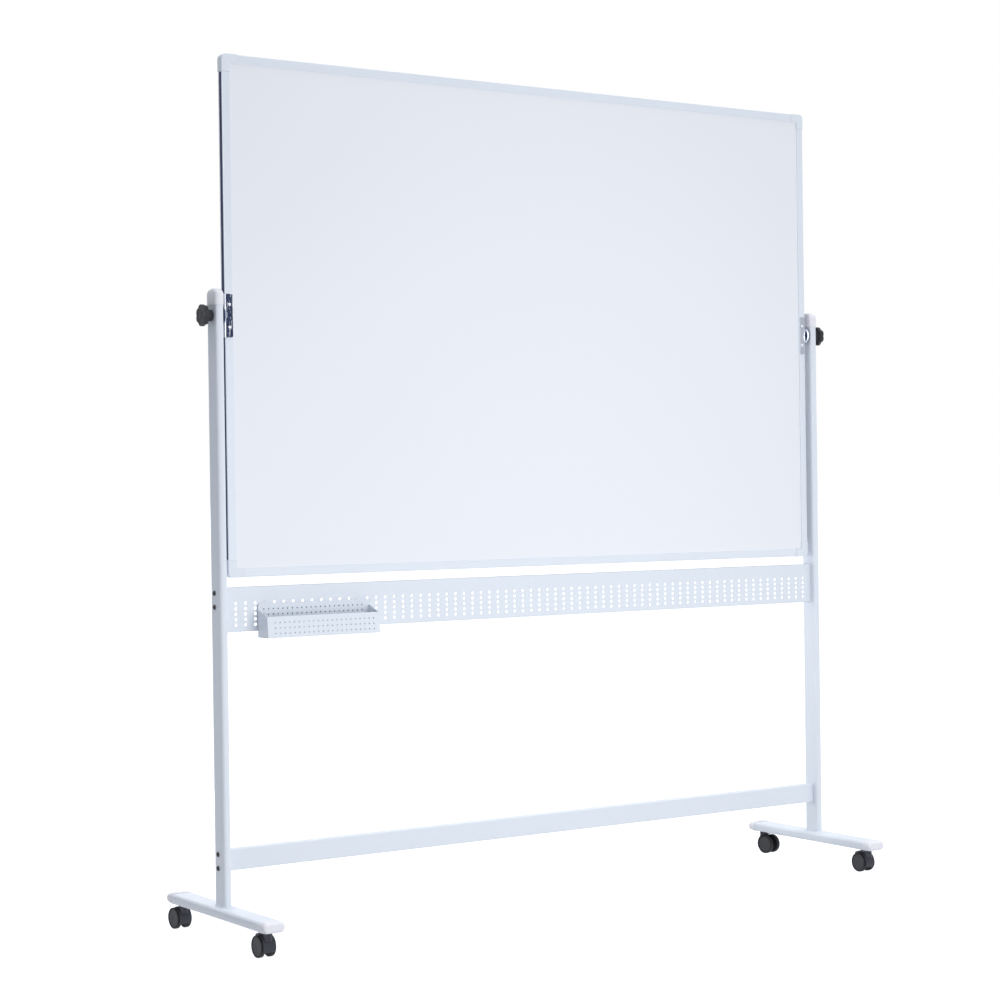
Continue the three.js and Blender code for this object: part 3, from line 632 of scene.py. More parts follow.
# ------------------------------------------------------------------ stand
for side, s in (("right", 1), ("left", -1)):
    cx = s * POST_X
    ob = link(f"post_{side}_tube", tube(section(20, 50, 7.5), section(17, 47, 6.0), 84.3, 1482).map(
        lambda x, y, z: (x + cx, y, z)))
    hole = lathe([(0, -14), (4.8, -14), (4.8, 14), (0, 14)], 32).map(lambda a, b, c: (cx + a, b, BOARD_Z + c))
    carve(ob, [hole])
    dress(ob, M_POWDER, "stand", [f"post_{side}"], sharp=30)

    # domed cap over the post: a straight skirt and a soft crown
    rings = [[(x * 1.0, y, 1461.0) for x, y in section(20.7, 50.7, 7.8)],
             [(x, y, 1461.0) for x, y in section(22.0, 52.0, 8.3)],
             [(x, y, 1461.35) for x, y in section(22.5, 52.5, 8.5)],
             [(x, y, 1462.2) for x, y in section(22.6, 52.6, 8.6)],
             [(x, y, 1483.0) for x, y in section(22.6, 52.6, 8.6)]]
    for k in range(1, 21):
        t = math.sin(rad(88.5 * k / 20))
        d = 52.6 * (1 - t ** 2.1) ** 0.5
        w = min(d - 0.4, 22.6 * (1 - t ** 3.4) ** (1 / 2.6))
        rings.append([(x, y, 1483.0 + 17.0 * t) for x, y in section(max(w, 1.0), max(d, 1.6), 8.6)])
    g = loft(rings, caps=(False, True))
    under = [[(x, y, h) for x, y in section(20.7, 50.7, 7.8)] for h in (1461.0, 1482.3)]
    g.join(loft(under, caps=(False, True)))
    piece(f"post_cap_{side}_crown", g.map(lambda x, y, z: (x + cx, y, z)), M_CAP, "stand",
          [f"post_cap_{side}"], sharp=48)

    # foot tube, drilled for the stems
    t = tube(section(FOOT_W, FOOT_H + 1.0, 9.0), section(FOOT_W - 3, FOOT_H - 2, 7.5), 0.5 - FOOT_TUBE, FOOT_TUBE - 0.5)
    ob = link(f"foot_tube_{side}_section", t.map(lambda x, z, y: (x + cx, y, z + FOOT_Z - 0.5)))
    for y in (-210, 210):
        carve(ob, [lathe([(0, 50), (5.4, 50), (5.4, 72), (0, 72)], 24).map(lambda a, b, c: (cx + b, y + c, a))])
    dress(ob, M_POWDER, "stand", [f"foot_tube_{side}"], sharp=30)

    # end caps with a shadow gap to the tube and a rolled nose
    for end, e in (("front", -1), ("rear", 1)):
        spec = [(216.4, 5.0), (219.25, 5.0), (219.3, 0.9), (219.5, 0.3), (220.0, 0.0), (233.0, 0.0)]
        for k in range(1, 15):
            a = rad(90 * k / 14)
            spec.append((233.0 + 13.0 * math.sin(a) ** 0.78, 2 * 7.4 * (1 - math.cos(a) ** 0.78)))
        rings = [[(x, a, z - 0.3) for x, z in section(FOOT_W + 1.4 - d, FOOT_H + 3.0 - d, 9.8 + max(0.0, a - 220.0) * 0.25)]
                 for a, d in spec]
        g = loft(rings)
        g = g.map(lambda x, y, z: (x + cx, e * y, z + FOOT_Z))
        # painted shade: a thin dark ring in the gap between tube and cap, standing for the shade down the gap
        ring = tube(section(FOOT_W - 1.2, FOOT_H - 0.2, 8.6), section(FOOT_W - 3.4, FOOT_H - 2.6, 7.4), 218.2, 219.45)
        piece(f"foot_cap_{end}_{side}_gap_shade", ring.map(lambda x, z, y: (x + cx, e * y, z + FOOT_Z - 0.5)), M_PAINTED_SHADE,
              "stand", sharp=50)
        piece(f"foot_cap_{end}_{side}_nose", g, M_CAP, "stand", [f"foot_cap_{end}_{side}"], sharp=50)

    # fillet weld round the foot of the post, with the ripple of a hand-laid bead
    line = section(20.6, 50.6, 7.8)
    m = len(line)
    rings = []
    for i in range(m * 3):
        t0 = i / 3
        a, b = line[int(t0) % m], line[(int(t0) + 1) % m]
        f = t0 - int(t0)
        p = Vector((a[0] + (b[0] - a[0]) * f, a[1] + (b[1] - a[1]) * f))
        d = (Vector(b) - Vector(a))
        if d.length < 1e-6:
            continue
        nrm = Vector((d.y, -d.x)).normalized()
        r = 2.3 + 0.22 * math.sin(i * 1.7) + 0.15 * math.sin(i * 0.61 + 1.0)
        rings.append([(cx + p.x + nrm.x * (0.2 + r * math.cos(q)), p.y + nrm.y * (0.2 + r * math.cos(q)),
                       84.0 + max(0.0, r * math.sin(q))) for q in [rad(k) for k in (0, 22, 45, 68, 90, 135, 180, 270)]])
    piece(f"post_weld_{side}", loft(rings, closed=True), M_WELD, "stand", sharp=60)

# lower crossbar: rolled corners and a plate let into each end
ob = link("lower_crossbar_tube", tube(fillet([(-9, 165.5), (16, 165.5), (16, 214.5), (-9, 214.5)], 2.6, 6),
                                      fillet([(-7.5, 167), (14.5, 167), (14.5, 213), (-7.5, 213)], 1.2, 6),
                                      -BAR_X, BAR_X).map(lambda y, z, x: (x, y, z)))
for s in (1, -1):
    plate = extrude(fillet([(-7.6, 166.9), (14.6, 166.9), (14.6, 213.1), (-7.6, 213.1)], 1.2, 4),
                    BAR_X - 3, BAR_X - 0.2).map(lambda y, z, x: (s * x, y, z))
    carve(ob, [plate], "UNION")
dress(ob, M_POWDER, "stand", ["lower_crossbar"], sharp=30)


def peg_rail():
    """Folded rail: 70 x 5 punched holes, rounded folds along the top and bottom, open at the back."""
    t, r = 1.2, 2.4
    z_lo, z_hi = PEG_Z0 + r, PEG_Z1 - r
    g, U, V = perforated(([-BAR_X, -BAR_X + 2.5], [BAR_X - 2.5, BAR_X]), ([z_lo, z_lo + 0.5], [z_hi - 0.5, z_hi]),
                         (70, 5), (-862.5, PEG_TOP - 50), (25, 12.5), (8, 4), 3.8, t, 0.22)
    out, inn = [], []
    for k in range(7):
        a = rad(90 * k / 6)
        out.append((z_hi + r * math.sin(a), r * (1 - math.cos(a))))
        inn.append((z_hi + (r - t) * math.sin(a), t + (r - t) * (1 - math.cos(a))))
    out += [(PEG_Z1, r + 0.5), (PEG_Z1, 24.6), (PEG_Z1 - 0.2, 25.0)]
    inn += [(PEG_Z1 - t, r + 0.5), (PEG_Z1 - t, 24.6), (PEG_Z1 - t + 0.2, 25.0)]
    g.join(strip(U, out, inn))
    mid = (PEG_Z0 + PEG_Z1)
    g.join(strip(U, [(mid - v, w) for v, w in out], [(mid - v, w) for v, w in inn]))
    # sheet edges at the two ends
    for u in (U[0], U[-1]):
        for a, b in zip(V, V[1:]):
            g.add([(u, a, 0), (u, b, 0), (u, b, t), (u, a, t)], [(0, 1, 2, 3)])
    ob = link("perforated_panel_sheet", g.map(lambda u, v, w: (u, -9 + w, v)), 1e-3)
    ends = Geo()
    for s in (1, -1):
        ends.join(extrude(fillet([(-7.7, PEG_Z0 + t + 0.1), (15.8, PEG_Z0 + t + 0.1), (15.8, PEG_Z1 - t - 0.1),
                                  (-7.7, PEG_Z1 - t - 0.1)], 0.8, 3), BAR_X - 2.5, BAR_X - 0.1).map(
            lambda y, z, x: (s * x, y, z)))
    piece("perforated_panel_end_plates", ends, M_POWDER, "stand", sharp=40)
    dress(ob, M_POWDER, "stand", ["perforated_panel"], sharp=28)


peg_rail()

# socket screws with a hexagon recess, each on a thin white ring that is a painted highlight for the light on the edge
# of the screw hole
LEVEL = {"crossbar_lower": 172, "crossbar_upper": 204, "panel_lower": 770, "panel_upper": 802}
HEAD = [(3.1, 911.0), (3.1, 912.25), (3.5, 912.62), (4.4, 912.8), (5.1, 912.7), (5.7, 912.3), (6.0, 911.6),
        (6.0, 910.75), (5.8, 910.55), (3.0, 910.55), (3.0, 876.2), (2.5, 875.7), (0, 875.7)]
for label, z in LEVEL.items():
    for side, s in (("right", 1), ("left", -1)):
        n = 48
        hexagon = lambda r, i: r * (0.93 / math.cos(((2 * pi * i / n) % (pi / 3)) - pi / 6))
        rings = [[(910.95, hexagon(2.55, i) * math.cos(2 * pi * i / n), hexagon(2.55, i) * math.sin(2 * pi * i / n))
                  for i in range(n)],
                 [(912.3, hexagon(2.55, i) * math.cos(2 * pi * i / n), hexagon(2.55, i) * math.sin(2 * pi * i / n))
                  for i in range(n)]]
        for r, a in HEAD[2:-1]:
            rings.append([(a, r * math.cos(2 * pi * i / n), r * math.sin(2 * pi * i / n)) for i in range(n)])
        g = loft(rings, caps=(True, True)).map(lambda a, b, c: (s * a, 3.5 + b, z + c))
        piece(f"frame_screw_{label}_{side}_socket", g, M_SCREW, "stand",
              [f"frame_screw_{label}_{side}"], sharp=35)
        # painted highlight: the white ring round the head stands for the highlight on the hole's edge
        ring = lathe([(3.2, 910.05), (7.2, 910.05), (7.35, 910.2), (7.35, 910.45), (7.2, 910.53), (3.2, 910.53)],
                     40, closed=True).map(lambda a, b, c: (s * a, 3.5 + b, z + c))
        piece(f"frame_washer_{label}_{side}", ring, M_CAP, "stand", sharp=40)


# ------------------------------------------------------------------ tray
def tray():
    t, r = 1.2, 2.2
    x0, x1, yb, yf, z0 = -804.8, -509.2, -10.5, -60.3, 696.5
    back_top, front_top = 774.6, 745.5
    rc = 8.0
    left, right = -806.0, -508.0

    # back: v is the height, w runs forwards (towards -Y)
    def crown(u, v):
        if v < back_top - 0.01:
            return v
        d = min(u - left, right - u)
        return back_top if d >= rc else back_top - rc + math.sqrt(max(0.0, rc * rc - (rc - d) ** 2))
    extra = [0, 0.25, 0.9, 2.0, 3.5, 5.4, 7.2]
    g, U, V = perforated(([left + e for e in extra], [right - e for e in reversed(extra)]),
                         ([z0 + r], [back_top - 4, back_top]), (22, 5), (-791, 711.5), (12.5, 12.5), (4, 4),
                         1.7, t, 0.12, crown)
    back = g.map(lambda u, v, w: (u, yb - w, v))
    # upper edge of the back, following the rounded corners
    for a, b in zip(U, U[1:]):
        za, zb = crown(a, back_top), crown(b, back_top)
        back.add([(a, yb, za), (b, yb, zb), (b, yb - t, zb), (a, yb - t, za)], [(0, 1, 2, 3)])
    for u in (U[0], U[-1]):
        for a, b in zip(V, V[1:]):
            if b > back_top - 0.01:
                b = crown(u, back_top)
            back.add([(u, yb, a), (u, yb, b), (u, yb - t, b), (u, yb - t, a)], [(0, 1, 2, 3)])
    # fold at the foot of the back and the floor of the tray, as paths of (z, y)
    out, inn = [], []
    for k in range(7):
        a = rad(90 * k / 6)
        out.append((z0 + r * (1 - math.sin(a)), yb - r * (1 - math.cos(a))))
        inn.append((z0 + r - (r - t) * math.sin(a), yb - t - (r - t) * (1 - math.cos(a))))
    # the floor runs to the front fold
    lean = math.atan2(5.0, 49.0)
    out += [(z0, yb - r - 0.6), (z0, yf + r)]
    inn += [(z0 + t, yb - r - 0.6), (z0 + t, yf + r)]
    # front fold: turns up to the leaning front wall
    for k in range(1, 8):
        a = (pi / 2 - lean) * k / 7
        out.append((z0 + r * (1 - math.cos(a)), yf + r - r * math.sin(a)))
        inn.append((z0 + r - (r - t) * math.cos(a), yf + r - (r - t) * math.sin(a)))
    back.join(strip(U, out, inn).map(lambda u, v, w: (u, w, v)))
    ob = link("accessory_tray_back", back, 1e-3)

    # front wall: u along x, v up the slope from the fold, w inwards
    d = Vector((out[-1][1], out[-1][0]))                    # (y, z) where the slope starts
    up_dir = Vector((math.sin(lean), math.cos(lean)))       # (y, z)
    in_dir = Vector((math.cos(lean), -math.sin(lean)))
    length = (front_top - d.y) / up_dir.y
    v_of = lambda z: (z - d.y) / up_dir.y
    g, U2, V2 = perforated(([left, left + 1.0, left + 6], [right - 6, right - 1.0, right]),
                           ([0.0], [length - 0.5, length]), (22, 3), (-786, v_of(706.5)),
                           (12.5, 12.5 / up_dir.y), (4, 4), 1.7, t, 0.12)
    for a, b in zip(U2, U2[1:]):
        g.add([(a, length, 0), (b, length, 0), (b, length, t), (a, length, t)], [(0, 1, 2, 3)])
    for u in (U2[0], U2[-1]):
        for a, b in zip(V2, V2[1:]):
            g.add([(u, a, 0), (u, b, 0), (u, b, t), (u, a, t)], [(0, 1, 2, 3)])
    front = g.map(lambda u, v, w: (u, d.x + up_dir.x * v + in_dir.x * w, d.y + up_dir.y * v + in_dir.y * w))
    ob2 = link("accessory_tray_front", front, 1e-3)

    # painted shade: a thin dark sheet behind the back of the tray, which darkens its holes as the shade between tray
    # and rail
    back_shade = extrude(fillet([(left + 3, z0 + 4), (right - 3, z0 + 4), (right - 3, 771.0), (left + 3, 771.0)],
                          [3, 3, 6, 6], 6), yb + 0.05, yb + 0.65).map(lambda u, v, w: (u, w, v))
    ob5 = link("accessory_tray_felt", back_shade)
    bevel(ob5, 0.15, 2, 60)

    # end walls, let in between back and front
    ends = Geo()
    for e0, e1 in ((left, left + t), (right - t, right)):
        pts = fillet([(yb - t, z0 + 0.6), (yb - t, 761.6), (-55.3 + t * 0.9, front_top - 0.2), (yf + t + 0.3, z0 + 0.6)],
                     [0.4, 0.8, 0.6, 1.6], 4)
        ends.join(extrude(pts, e0, e1).map(lambda y, z, x: (x, y, z)))
    ob3 = link("accessory_tray_ends", ends)
    bevel(ob3, 0.3, 2, 60)

    # hooks: a neck through a peg hole and a prong that turns up behind the sheet
    hooks = Geo()
    for hx in (-787.5, -537.5):
        path = [(-11.1, 772.0), (-11.1, 774.8), (-10.9, 776.3), (-10.2, 777.3), (-9.0, 777.5), (-7.4, 777.6),
                (-6.9, 778.2), (-6.55, 779.4), (-6.5, 781.0), (-6.5, 785.0)]
        rings = []
        for k, (y, z) in enumerate(path):
            a, b = path[max(k - 1, 0)], path[min(k + 1, len(path) - 1)]
            dy, dz = b[0] - a[0], b[1] - a[1]
            q = math.hypot(dy, dz)
            ny, nz = -dz / q, dy / q
            h = 0.95
            rings.append([(hx - 3.0, y + ny * h * 0.7, z + nz * h * 0.7), (hx - 2.7, y + ny * h, z + nz * h),
                          (hx + 2.7, y + ny * h, z + nz * h), (hx + 3.0, y + ny * h * 0.7, z + nz * h * 0.7),
                          (hx + 3.0, y - ny * h * 0.7, z - nz * h * 0.7), (hx + 2.7, y - ny * h, z - nz * h),
                          (hx - 2.7, y - ny * h, z - nz * h), (hx - 3.0, y - ny * h * 0.7, z - nz * h * 0.7)])
        tip = [(hx + (x - hx) * 0.5, y2, 785.8) for x, y2, z2 in rings[-1]]
        hooks.join(loft(rings + [tip]))
    ob4 = link("accessory_tray_hooks", hooks)
    for part in (ob, ob2, ob3, ob5):
        for v in part.data.vertices:
            v.co.x -= 0.0011
    dress(ob, M_POWDER, "tray", ["accessory_tray"], sharp=30)
    dress(ob2, M_POWDER, "tray", sharp=30)
    dress(ob3, M_POWDER, "tray", sharp=30)
    # painted shade sheet behind the tray
    dress(ob5, M_PAINTED_SHADE, "tray", sharp=50)
    dress(ob4, M_POWDER, "tray", sharp=50)


tray()

# ------------------------------------------------------------------ casters
TRAIL, AXLE_Z = 17.5, 25.0


def place(g, x, y, a):
    c, s = math.cos(rad(a)), math.sin(rad(a))
    return g.map(lambda u, v, w: (x + c * u - s * v, y + s * u + c * v, w))


def wheel_parts():
    """Tread and rim, then the cover disc, for the wheel on the +X side of the caster."""
    rim = [(2.9, 4.2), (8.8, 4.2), (9.2, 4.6), (9.2, 9.0), (20.4, 9.0), (20.8, 8.4), (23.2, 8.4)]
    rim += arc(23.2, 10.2, 1.8, -90, 0, 6) + [(25.0, 13.5)] + arc(22.9, 16.9, 2.1, 0, 90, 8)
    rim += [(21.9, 19.0), (21.5, 18.8), (21.35, 18.4), (21.35, 16.6), (2.9, 16.6)]
    cover = [(0, 17.1), (4.2, 17.1), (4.6, 17.35), (5.4, 17.45), (12, 17.75), (18.5, 17.95), (20.3, 18.0)] + \
        arc(20.3, 17.3, 0.7, 90, 0, 5) + [(21.0, 16.4), (0, 16.4)]
    return lathe(rim, 72, closed=True), lathe(cover, 72)


def hood_geo():
    """Curved mudguard over both wheels with rolled side edges, a web with the axle hub, and the stem boss."""
    ay, az = TRAIL, AXLE_Z
    g = Geo()
    rings = []
    # section of the band across X: rounded edges, flat across the top
    R0, R1, H = 26.6, 28.4, 15.6
    for k in range(37):
        a = rad(96 + 108 * k / 36)
        fade = min(1.0, min(k, 36 - k) / 2.0 + 0.25)
        sec = []
        outer = [(-H, R0 + 0.5), (-H, R1 - 0.9), (-H + 0.25, R1 - 0.35), (-H + 0.9, R1 - 0.08), (-H + 2.4, R1),
                 (0, R1), (H - 2.4, R1), (H - 0.9, R1 - 0.08), (H - 0.25, R1 - 0.35), (H, R1 - 0.9), (H, R0 + 0.5),
                 (H - 0.4, R0), (0, R0), (-H + 0.4, R0)]
        for x, q in outer:
            mid = (R0 + R1) / 2
            q2 = mid + (q - mid) * fade
            sec.append((x, ay + q2 * math.cos(a), az + q2 * math.sin(a)))
        rings.append(sec)
    g.join(loft(rings))
    # web between the wheels
    pie = [(0.0, 0.0)]
    for k in range(25):
        a = rad(97 + 106 * k / 24)
        pie.append((27.0 * math.cos(a), 27.0 * math.sin(a)))
    pie = [(ay + y, az + z) for y, z in pie]
    g.join(extrude(pie, -3.3, 3.3).map(lambda y, z, x: (x, y, z)))
    hub = lathe([(2.9, -3.4), (8.6, -3.4), (9.0, -3.0), (9.0, 3.0), (8.6, 3.4), (2.9, 3.4)], 40, closed=True)
    g.join(hub.map(lambda a, b, c: (a, ay + b, az + c)))
    # stem boss with a chamfered mouth, its foot cut away round the two wheels
    ob = link("hood", g)
    boss = [(0, 46.8), (5.3, 46.8), (5.3, 57.9), (5.7, 58.3), (9.6, 58.3), (10.4, 58.0), (10.8, 57.3), (11.0, 56.0),
            (11.0, 38.0), (0, 38.0)]
    top = link("boss", lathe(boss, 40).map(lambda a, b, c: (b, c, a)))
    near = lambda s: lathe([(0, 3.6), (26.55, 3.6), (26.55, 40), (0, 40)], 64).map(
        lambda a, b, c: (s * a, ay + b, az + c))
    carve(top, [near(1), near(-1)])
    return ob, top


def pedal_geo():
    """Tread plate behind the crown of the hood, with a rounded lip and three grip ribs."""
    under = [(TRAIL + 27.1 * math.cos(rad(a)), AXLE_Z + 27.1 * math.sin(rad(a))) for a in (84, 76, 68, 60, 52, 46)]
    prof = [(19.2, 54.9), (19.2, 52.4)] + under + [(37.4, 45.2), (37.9, 46.2), (37.7, 48.2), (36.9, 49.6), (35.6, 50.6),
                                                   (30.0, 52.4), (24.0, 54.3), (20.2, 55.3)]
    g = extrude(prof, -10.2, 10.2).map(lambda y, z, x: (x, y, z))
    ribs = Geo()
    for y, z in ((26.5, 53.68), (29.5, 52.68), (32.5, 51.68)):
        sec = [(y - 0.7, z - 0.5), (y - 0.45, z + 0.2), (y, z + 0.35), (y + 0.45, z + 0.0), (y + 0.7, z - 0.8)]
        ribs.join(extrude(sec, -8.0, 8.0).map(lambda b, c, a: (a, b, c)))
    return g, ribs


HOOD, BOSS = hood_geo()
for label, (cx, cy, ang) in CASTERS.items():
    body = f"caster_{label}"
    stem = lathe([(0, 47.1), (4.4, 47.1), (5.0, 47.7), (5.0, 58.5), (8.6, 58.5), (9.0, 58.7), (9.0, 59.6), (8.6, 59.85),
                  (5.0, 59.85), (5.0, 79.5), (4.4, 81), (0, 81)], 32).map(lambda a, b, c: (b, c, a))
    piece(f"caster_stem_{label}_pin", place(stem, cx, cy, ang), M_ZINC, "stand",
          [f"caster_stem_{label}"], sharp=35)
    for part, src in (("shell", HOOD), ("boss", BOSS)):
        ob = bpy.data.objects.new(f"caster_hood_{label}_{part}", src.data.copy())
        scene.collection.objects.link(ob)
        ob.data.transform(Matrix.Translation((cx / 1000, cy / 1000, 0)) @ Matrix.Rotation(rad(ang), 4, "Z"))
        dress(ob, M_HOOD, body, [f"caster_hood_{label}"] if part == "shell" else (), sharp=40)
    axle = lathe([(0, -14.5), (2.2, -14.5), (2.5, -14.2), (2.5, 14.2), (2.2, 14.5), (0, 14.5)], 28).map(
        lambda a, b, c: (a, TRAIL + b, AXLE_Z + c))
    piece(f"caster_axle_{label}_rod", place(axle, cx, cy, ang), M_ZINC, body,
          [f"caster_axle_{label}"], sharp=35)
    outward = 1 if (cx > 0) == (abs(ang) < 90) else -1
    for which, s in (("outer", outward), ("inner", -outward)):
        tread, cover = wheel_parts()
        fn = lambda a, b, c, s=s: (s * a, TRAIL + s * b, AXLE_Z + c)
        piece(f"caster_wheel_{which}_{label}_tread", place(tread.map(fn), cx, cy, ang), M_TYRE,
              f"wheel_{which}_{label}", [f"caster_wheel_{which}_{label}"], sharp=35)
        piece(f"caster_cover_{which}_{label}", place(cover.map(fn), cx, cy, ang), M_DISC,
              f"wheel_{which}_{label}", sharp=35)
    if label.startswith("front"):
        plate, ribs = pedal_geo()
        ob = link(f"caster_brake_{label}_pedal", place(plate, cx, cy, ang))
        bevel(ob, 0.5, 3, 60)
        dress(ob, M_HOOD, f"brake_{label}", [f"caster_brake_{label}"], sharp=40)
        piece(f"caster_brake_{label}_ribs", place(ribs, cx, cy, ang), M_HOOD, f"brake_{label}",
              sharp=50)

for src in (HOOD, BOSS):
    data = src.data
    bpy.data.objects.remove(src)
    bpy.data.meshes.remove(data)

# the core stays as the CAD node, inside the frame
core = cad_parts["board_core"]
core.data.materials.clear()
core.data.materials.append(M_KRAFT)

# ------------------------------------------------------------------ floor, light and camera
# pale floor, lit softly from below as well, as a light table is
m, nt, b = tree("pale studio floor")
tone = mix(nt, ramp(nt, noise(nt, 0.8, 4.0, 0.6), 0.3, 0.7, 0, 1), (0.29, 0.29, 0.29), (0.31, 0.31, 0.31))
nt.links.new(tone, b.inputs["Base Color"])
b.inputs["Emission Color"].default_value = (0.965, 0.985, 1.03, 1.0)
b.inputs["Emission Strength"].default_value = 0.95
nt.links.new(bump(nt, noise(nt, 60, 2.0, 0.5), 0.03, 0.001), b.inputs["Normal"])
b.inputs["Roughness"].default_value = 0.9
b.inputs["Specular IOR Level"].default_value = 0.1
pts, faces = [(0.0, 0.0, 0.0)], []
N = 96
for k, r in enumerate((4.0, 12.0, 40.0, 120.0)):
    pts += [(r * math.cos(2 * pi * i / N), r * math.sin(2 * pi * i / N), 0.0) for i in range(N)]
    for i in range(N):
        j = (i + 1) % N
        if k == 0:
            faces.append((0, 1 + i, 1 + j))
        else:
            p = 1 + (k - 1) * N
            faces.append((p + i, p + N + i, p + N + j, p + j))
me = bpy.data.meshes.new("studio_floor")
me.from_pydata(pts, [], faces)
me.materials.append(m)
floor = bpy.data.objects.new("studio_floor", me)
floor.visible_diffuse = False
scene.collection.objects.link(floor)

world = bpy.data.worlds.new("studio")
scene.world = world
world.use_nodes = True
wt = world.node_tree
wt.nodes.clear()
w_out = wt.nodes.new("ShaderNodeOutputWorld")
bg_seen, bg_light = wt.nodes.new("ShaderNodeBackground"), wt.nodes.new("ShaderNodeBackground")
shader_mix, path = wt.nodes.new("ShaderNodeMixShader"), wt.nodes.new("ShaderNodeLightPath")
wt.links.new(path.outputs["Is Camera Ray"], shader_mix.inputs[0])
wt.links.new(bg_light.outputs[0], shader_mix.inputs[1])
wt.links.new(bg_seen.outputs[0], shader_mix.inputs[2])
wt.links.new(shader_mix.outputs[0], w_out.inputs["Surface"])
bg_seen.inputs["Color"].default_value = (1, 1, 1, 1)
bg_seen.inputs["Strength"].default_value = 1.0


def lobe(direction, lo, hi):
    """1 towards a direction, 0 away from it, as a smooth step of the cosine between lo and hi."""
    tc = wt.nodes.new("ShaderNodeTexCoord")
    dot = wt.nodes.new("ShaderNodeVectorMath")
    dot.operation = "DOT_PRODUCT"
    d = Vector(direction).normalized()
    dot.inputs[1].default_value = d
    wt.links.new(tc.outputs["Generated"], dot.inputs[0])
    r = wt.nodes.new("ShaderNodeMapRange")
    r.interpolation_type = "SMOOTHSTEP"
    r.inputs["From Min"].default_value = lo
    r.inputs["From Max"].default_value = hi
    wt.links.new(dot.outputs["Value"], r.inputs["Value"])
    return r.outputs["Result"]


def scaled(fac, colour):
    m = wt.nodes.new("ShaderNodeVectorMath")
    m.operation = "SCALE"
    m.inputs[0].default_value = colour
    wt.links.new(fac, m.inputs["Scale"])
    return m.outputs["Vector"]


def plus(a, b):
    m = wt.nodes.new("ShaderNodeVectorMath")
    m.operation = "ADD"
    for k, s in ((0, a), (1, b)):
        if isinstance(s, tuple):
            m.inputs[k].default_value = s
        else:
            wt.links.new(s, m.inputs[k])
    return m.outputs["Vector"]


def blended(fac, a, b):
    m = wt.nodes.new("ShaderNodeMix")
    m.data_type = "RGBA"
    wt.links.new(fac, m.inputs[0])
    for sock, c in ((m.inputs[6], a), (m.inputs[7], b)):
        if isinstance(c, tuple):
            sock.default_value = (*c, 1.0)
        else:
            wt.links.new(c, sock)
    return m.outputs[2]


AMBIENT = (0.275, 0.285, 0.300)
BELOW = (0.42, 0.43, 0.455)
TOP = (3.10, 3.17, 3.29)
FRONT = (0.60, 0.60, 0.60)
sky = plus(AMBIENT, scaled(lobe((0, 0, 1), 0.8, 1.0), TOP))
sky = plus(sky, scaled(lobe((0.65, -0.72, 0.5), 0.4, 0.95), FRONT))
sky = plus(sky, scaled(lobe((0, 0, -1), -0.02, 0.1), BELOW))
# what polished parts see: pale walls, a bright ceiling and one dark opening in the wall in front
room = plus((0.94, 0.955, 0.98), scaled(lobe((0, 0, 1), 0.5, 1.0), (0.6, 0.6, 0.6)))
room = plus(room, scaled(lobe((-0.85, -0.53, 0.0), 0.6, 0.95), (2.5, 2.5, 2.5)))
gap = lobe((math.sin(rad(20)), -math.cos(rad(20)), 0.06), math.cos(rad(12.5)), math.cos(rad(9.5)))
room = blended(gap, room, (0.045, 0.065, 0.13))
shade = lobe((math.sin(rad(41.5)), -math.cos(rad(41.5)), 0.06), math.cos(rad(11.0)), math.cos(rad(7.0)))
room = blended(shade, room, (0.71, 0.73, 0.77))
left = lobe((-math.sin(rad(25)), math.cos(rad(25)), 0.05), math.cos(rad(16.0)), math.cos(rad(9.0)))
room = blended(left, room, (0.25, 0.28, 0.34))
sky = blended(path.outputs["Is Glossy Ray"], sky, room)
wt.links.new(sky, bg_light.inputs["Color"])
bg_light.inputs["Strength"].default_value = 1.0

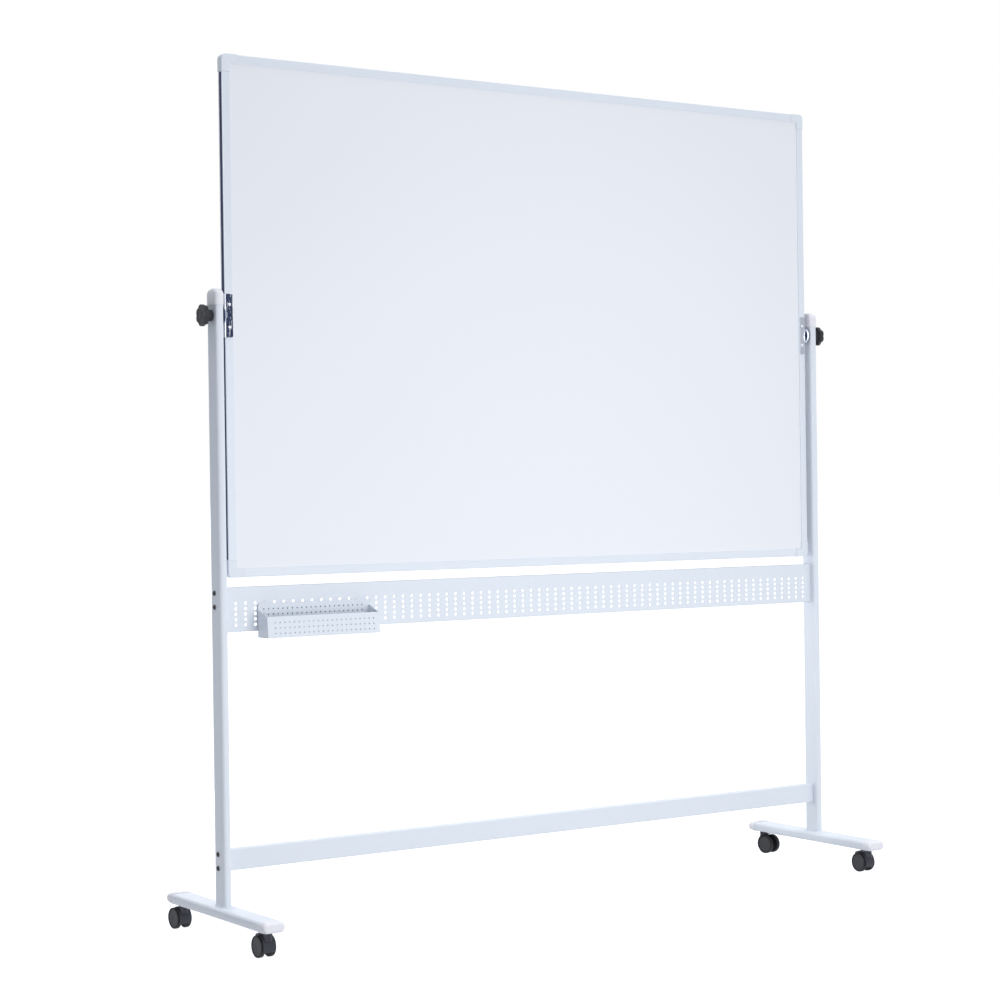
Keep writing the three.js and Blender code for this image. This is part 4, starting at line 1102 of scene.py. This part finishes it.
soft = bpy.data.lights.new("soft box", "AREA")
soft.shape = "RECTANGLE"
soft.size, soft.size_y = 1.4, 2.0
soft.energy = 25.0
soft.color = (1.0, 0.995, 0.985)
soft_ob = bpy.data.objects.new("soft_box", soft)
scene.collection.objects.link(soft_ob)
soft_ob.location = (0.05, -2.4, 0.95)
soft_ob.visible_glossy = False
soft_ob.rotation_euler = (Vector((0.05, 0.0, 1.0)) - Vector((0.05, -2.4, 0.95))).to_track_quat("-Z", "Y").to_euler()

wall = bpy.data.lights.new("pale wall behind", "AREA")
wall.shape = "RECTANGLE"
wall.size, wall.size_y = 1.8, 2.4
wall.energy = 42.0
wall_ob = bpy.data.objects.new("pale_wall", wall)
scene.collection.objects.link(wall_ob)
wall_ob.location = (0.0, 2.4, 1.25)
wall_ob.rotation_euler = Vector((0.0, -1.0, 0.0)).to_track_quat("-Z", "Y").to_euler()
wall_ob.visible_glossy = False
wall_ob.visible_camera = False

fill = bpy.data.lights.new("post fill", "AREA")
fill.shape = "RECTANGLE"
fill.size, fill.size_y = 0.25, 1.2
fill.spread = math.radians(36.0)
fill.energy = 0.6
fill_ob = bpy.data.objects.new("post_fill", fill)
scene.collection.objects.link(fill_ob)
fill_ob.location = (-0.75, 0.32, 0.75)
fill_ob.rotation_euler = Vector((1.65, -0.32, 0.0)).to_track_quat("-Z", "Y").to_euler()
fill_ob.visible_glossy = False
fill_ob.visible_camera = False

# camera at the viewing angle
yaw, pitch, roll = 0.59293, 0.00583, -0.01347
fwd = Vector((math.sin(yaw) * math.cos(pitch), math.cos(yaw) * math.cos(pitch), -math.sin(pitch)))
right = Vector((math.cos(yaw), -math.sin(yaw), 0))
upv = right.cross(fwd)
r2 = right * math.cos(roll) + upv * math.sin(roll)
u2 = upv * math.cos(roll) - right * math.sin(roll)
cam_data = bpy.data.cameras.new("camera")
cam_data.sensor_width = 36.0
cam_data.lens = 2255.206 * 36.0 / 1000.0
cam_data.clip_start, cam_data.clip_end = 0.1, 300.0
cam = bpy.data.objects.new("camera", cam_data)
scene.collection.objects.link(cam)
cam.matrix_world = Matrix((
    (r2.x, u2.x, -fwd.x, -3.24864),
    (r2.y, u2.y, -fwd.y, -4.64038),
    (r2.z, u2.z, -fwd.z, 1.03669),
    (0, 0, 0, 1),
))
scene.camera = cam
scene.view_settings.view_transform = "Standard"
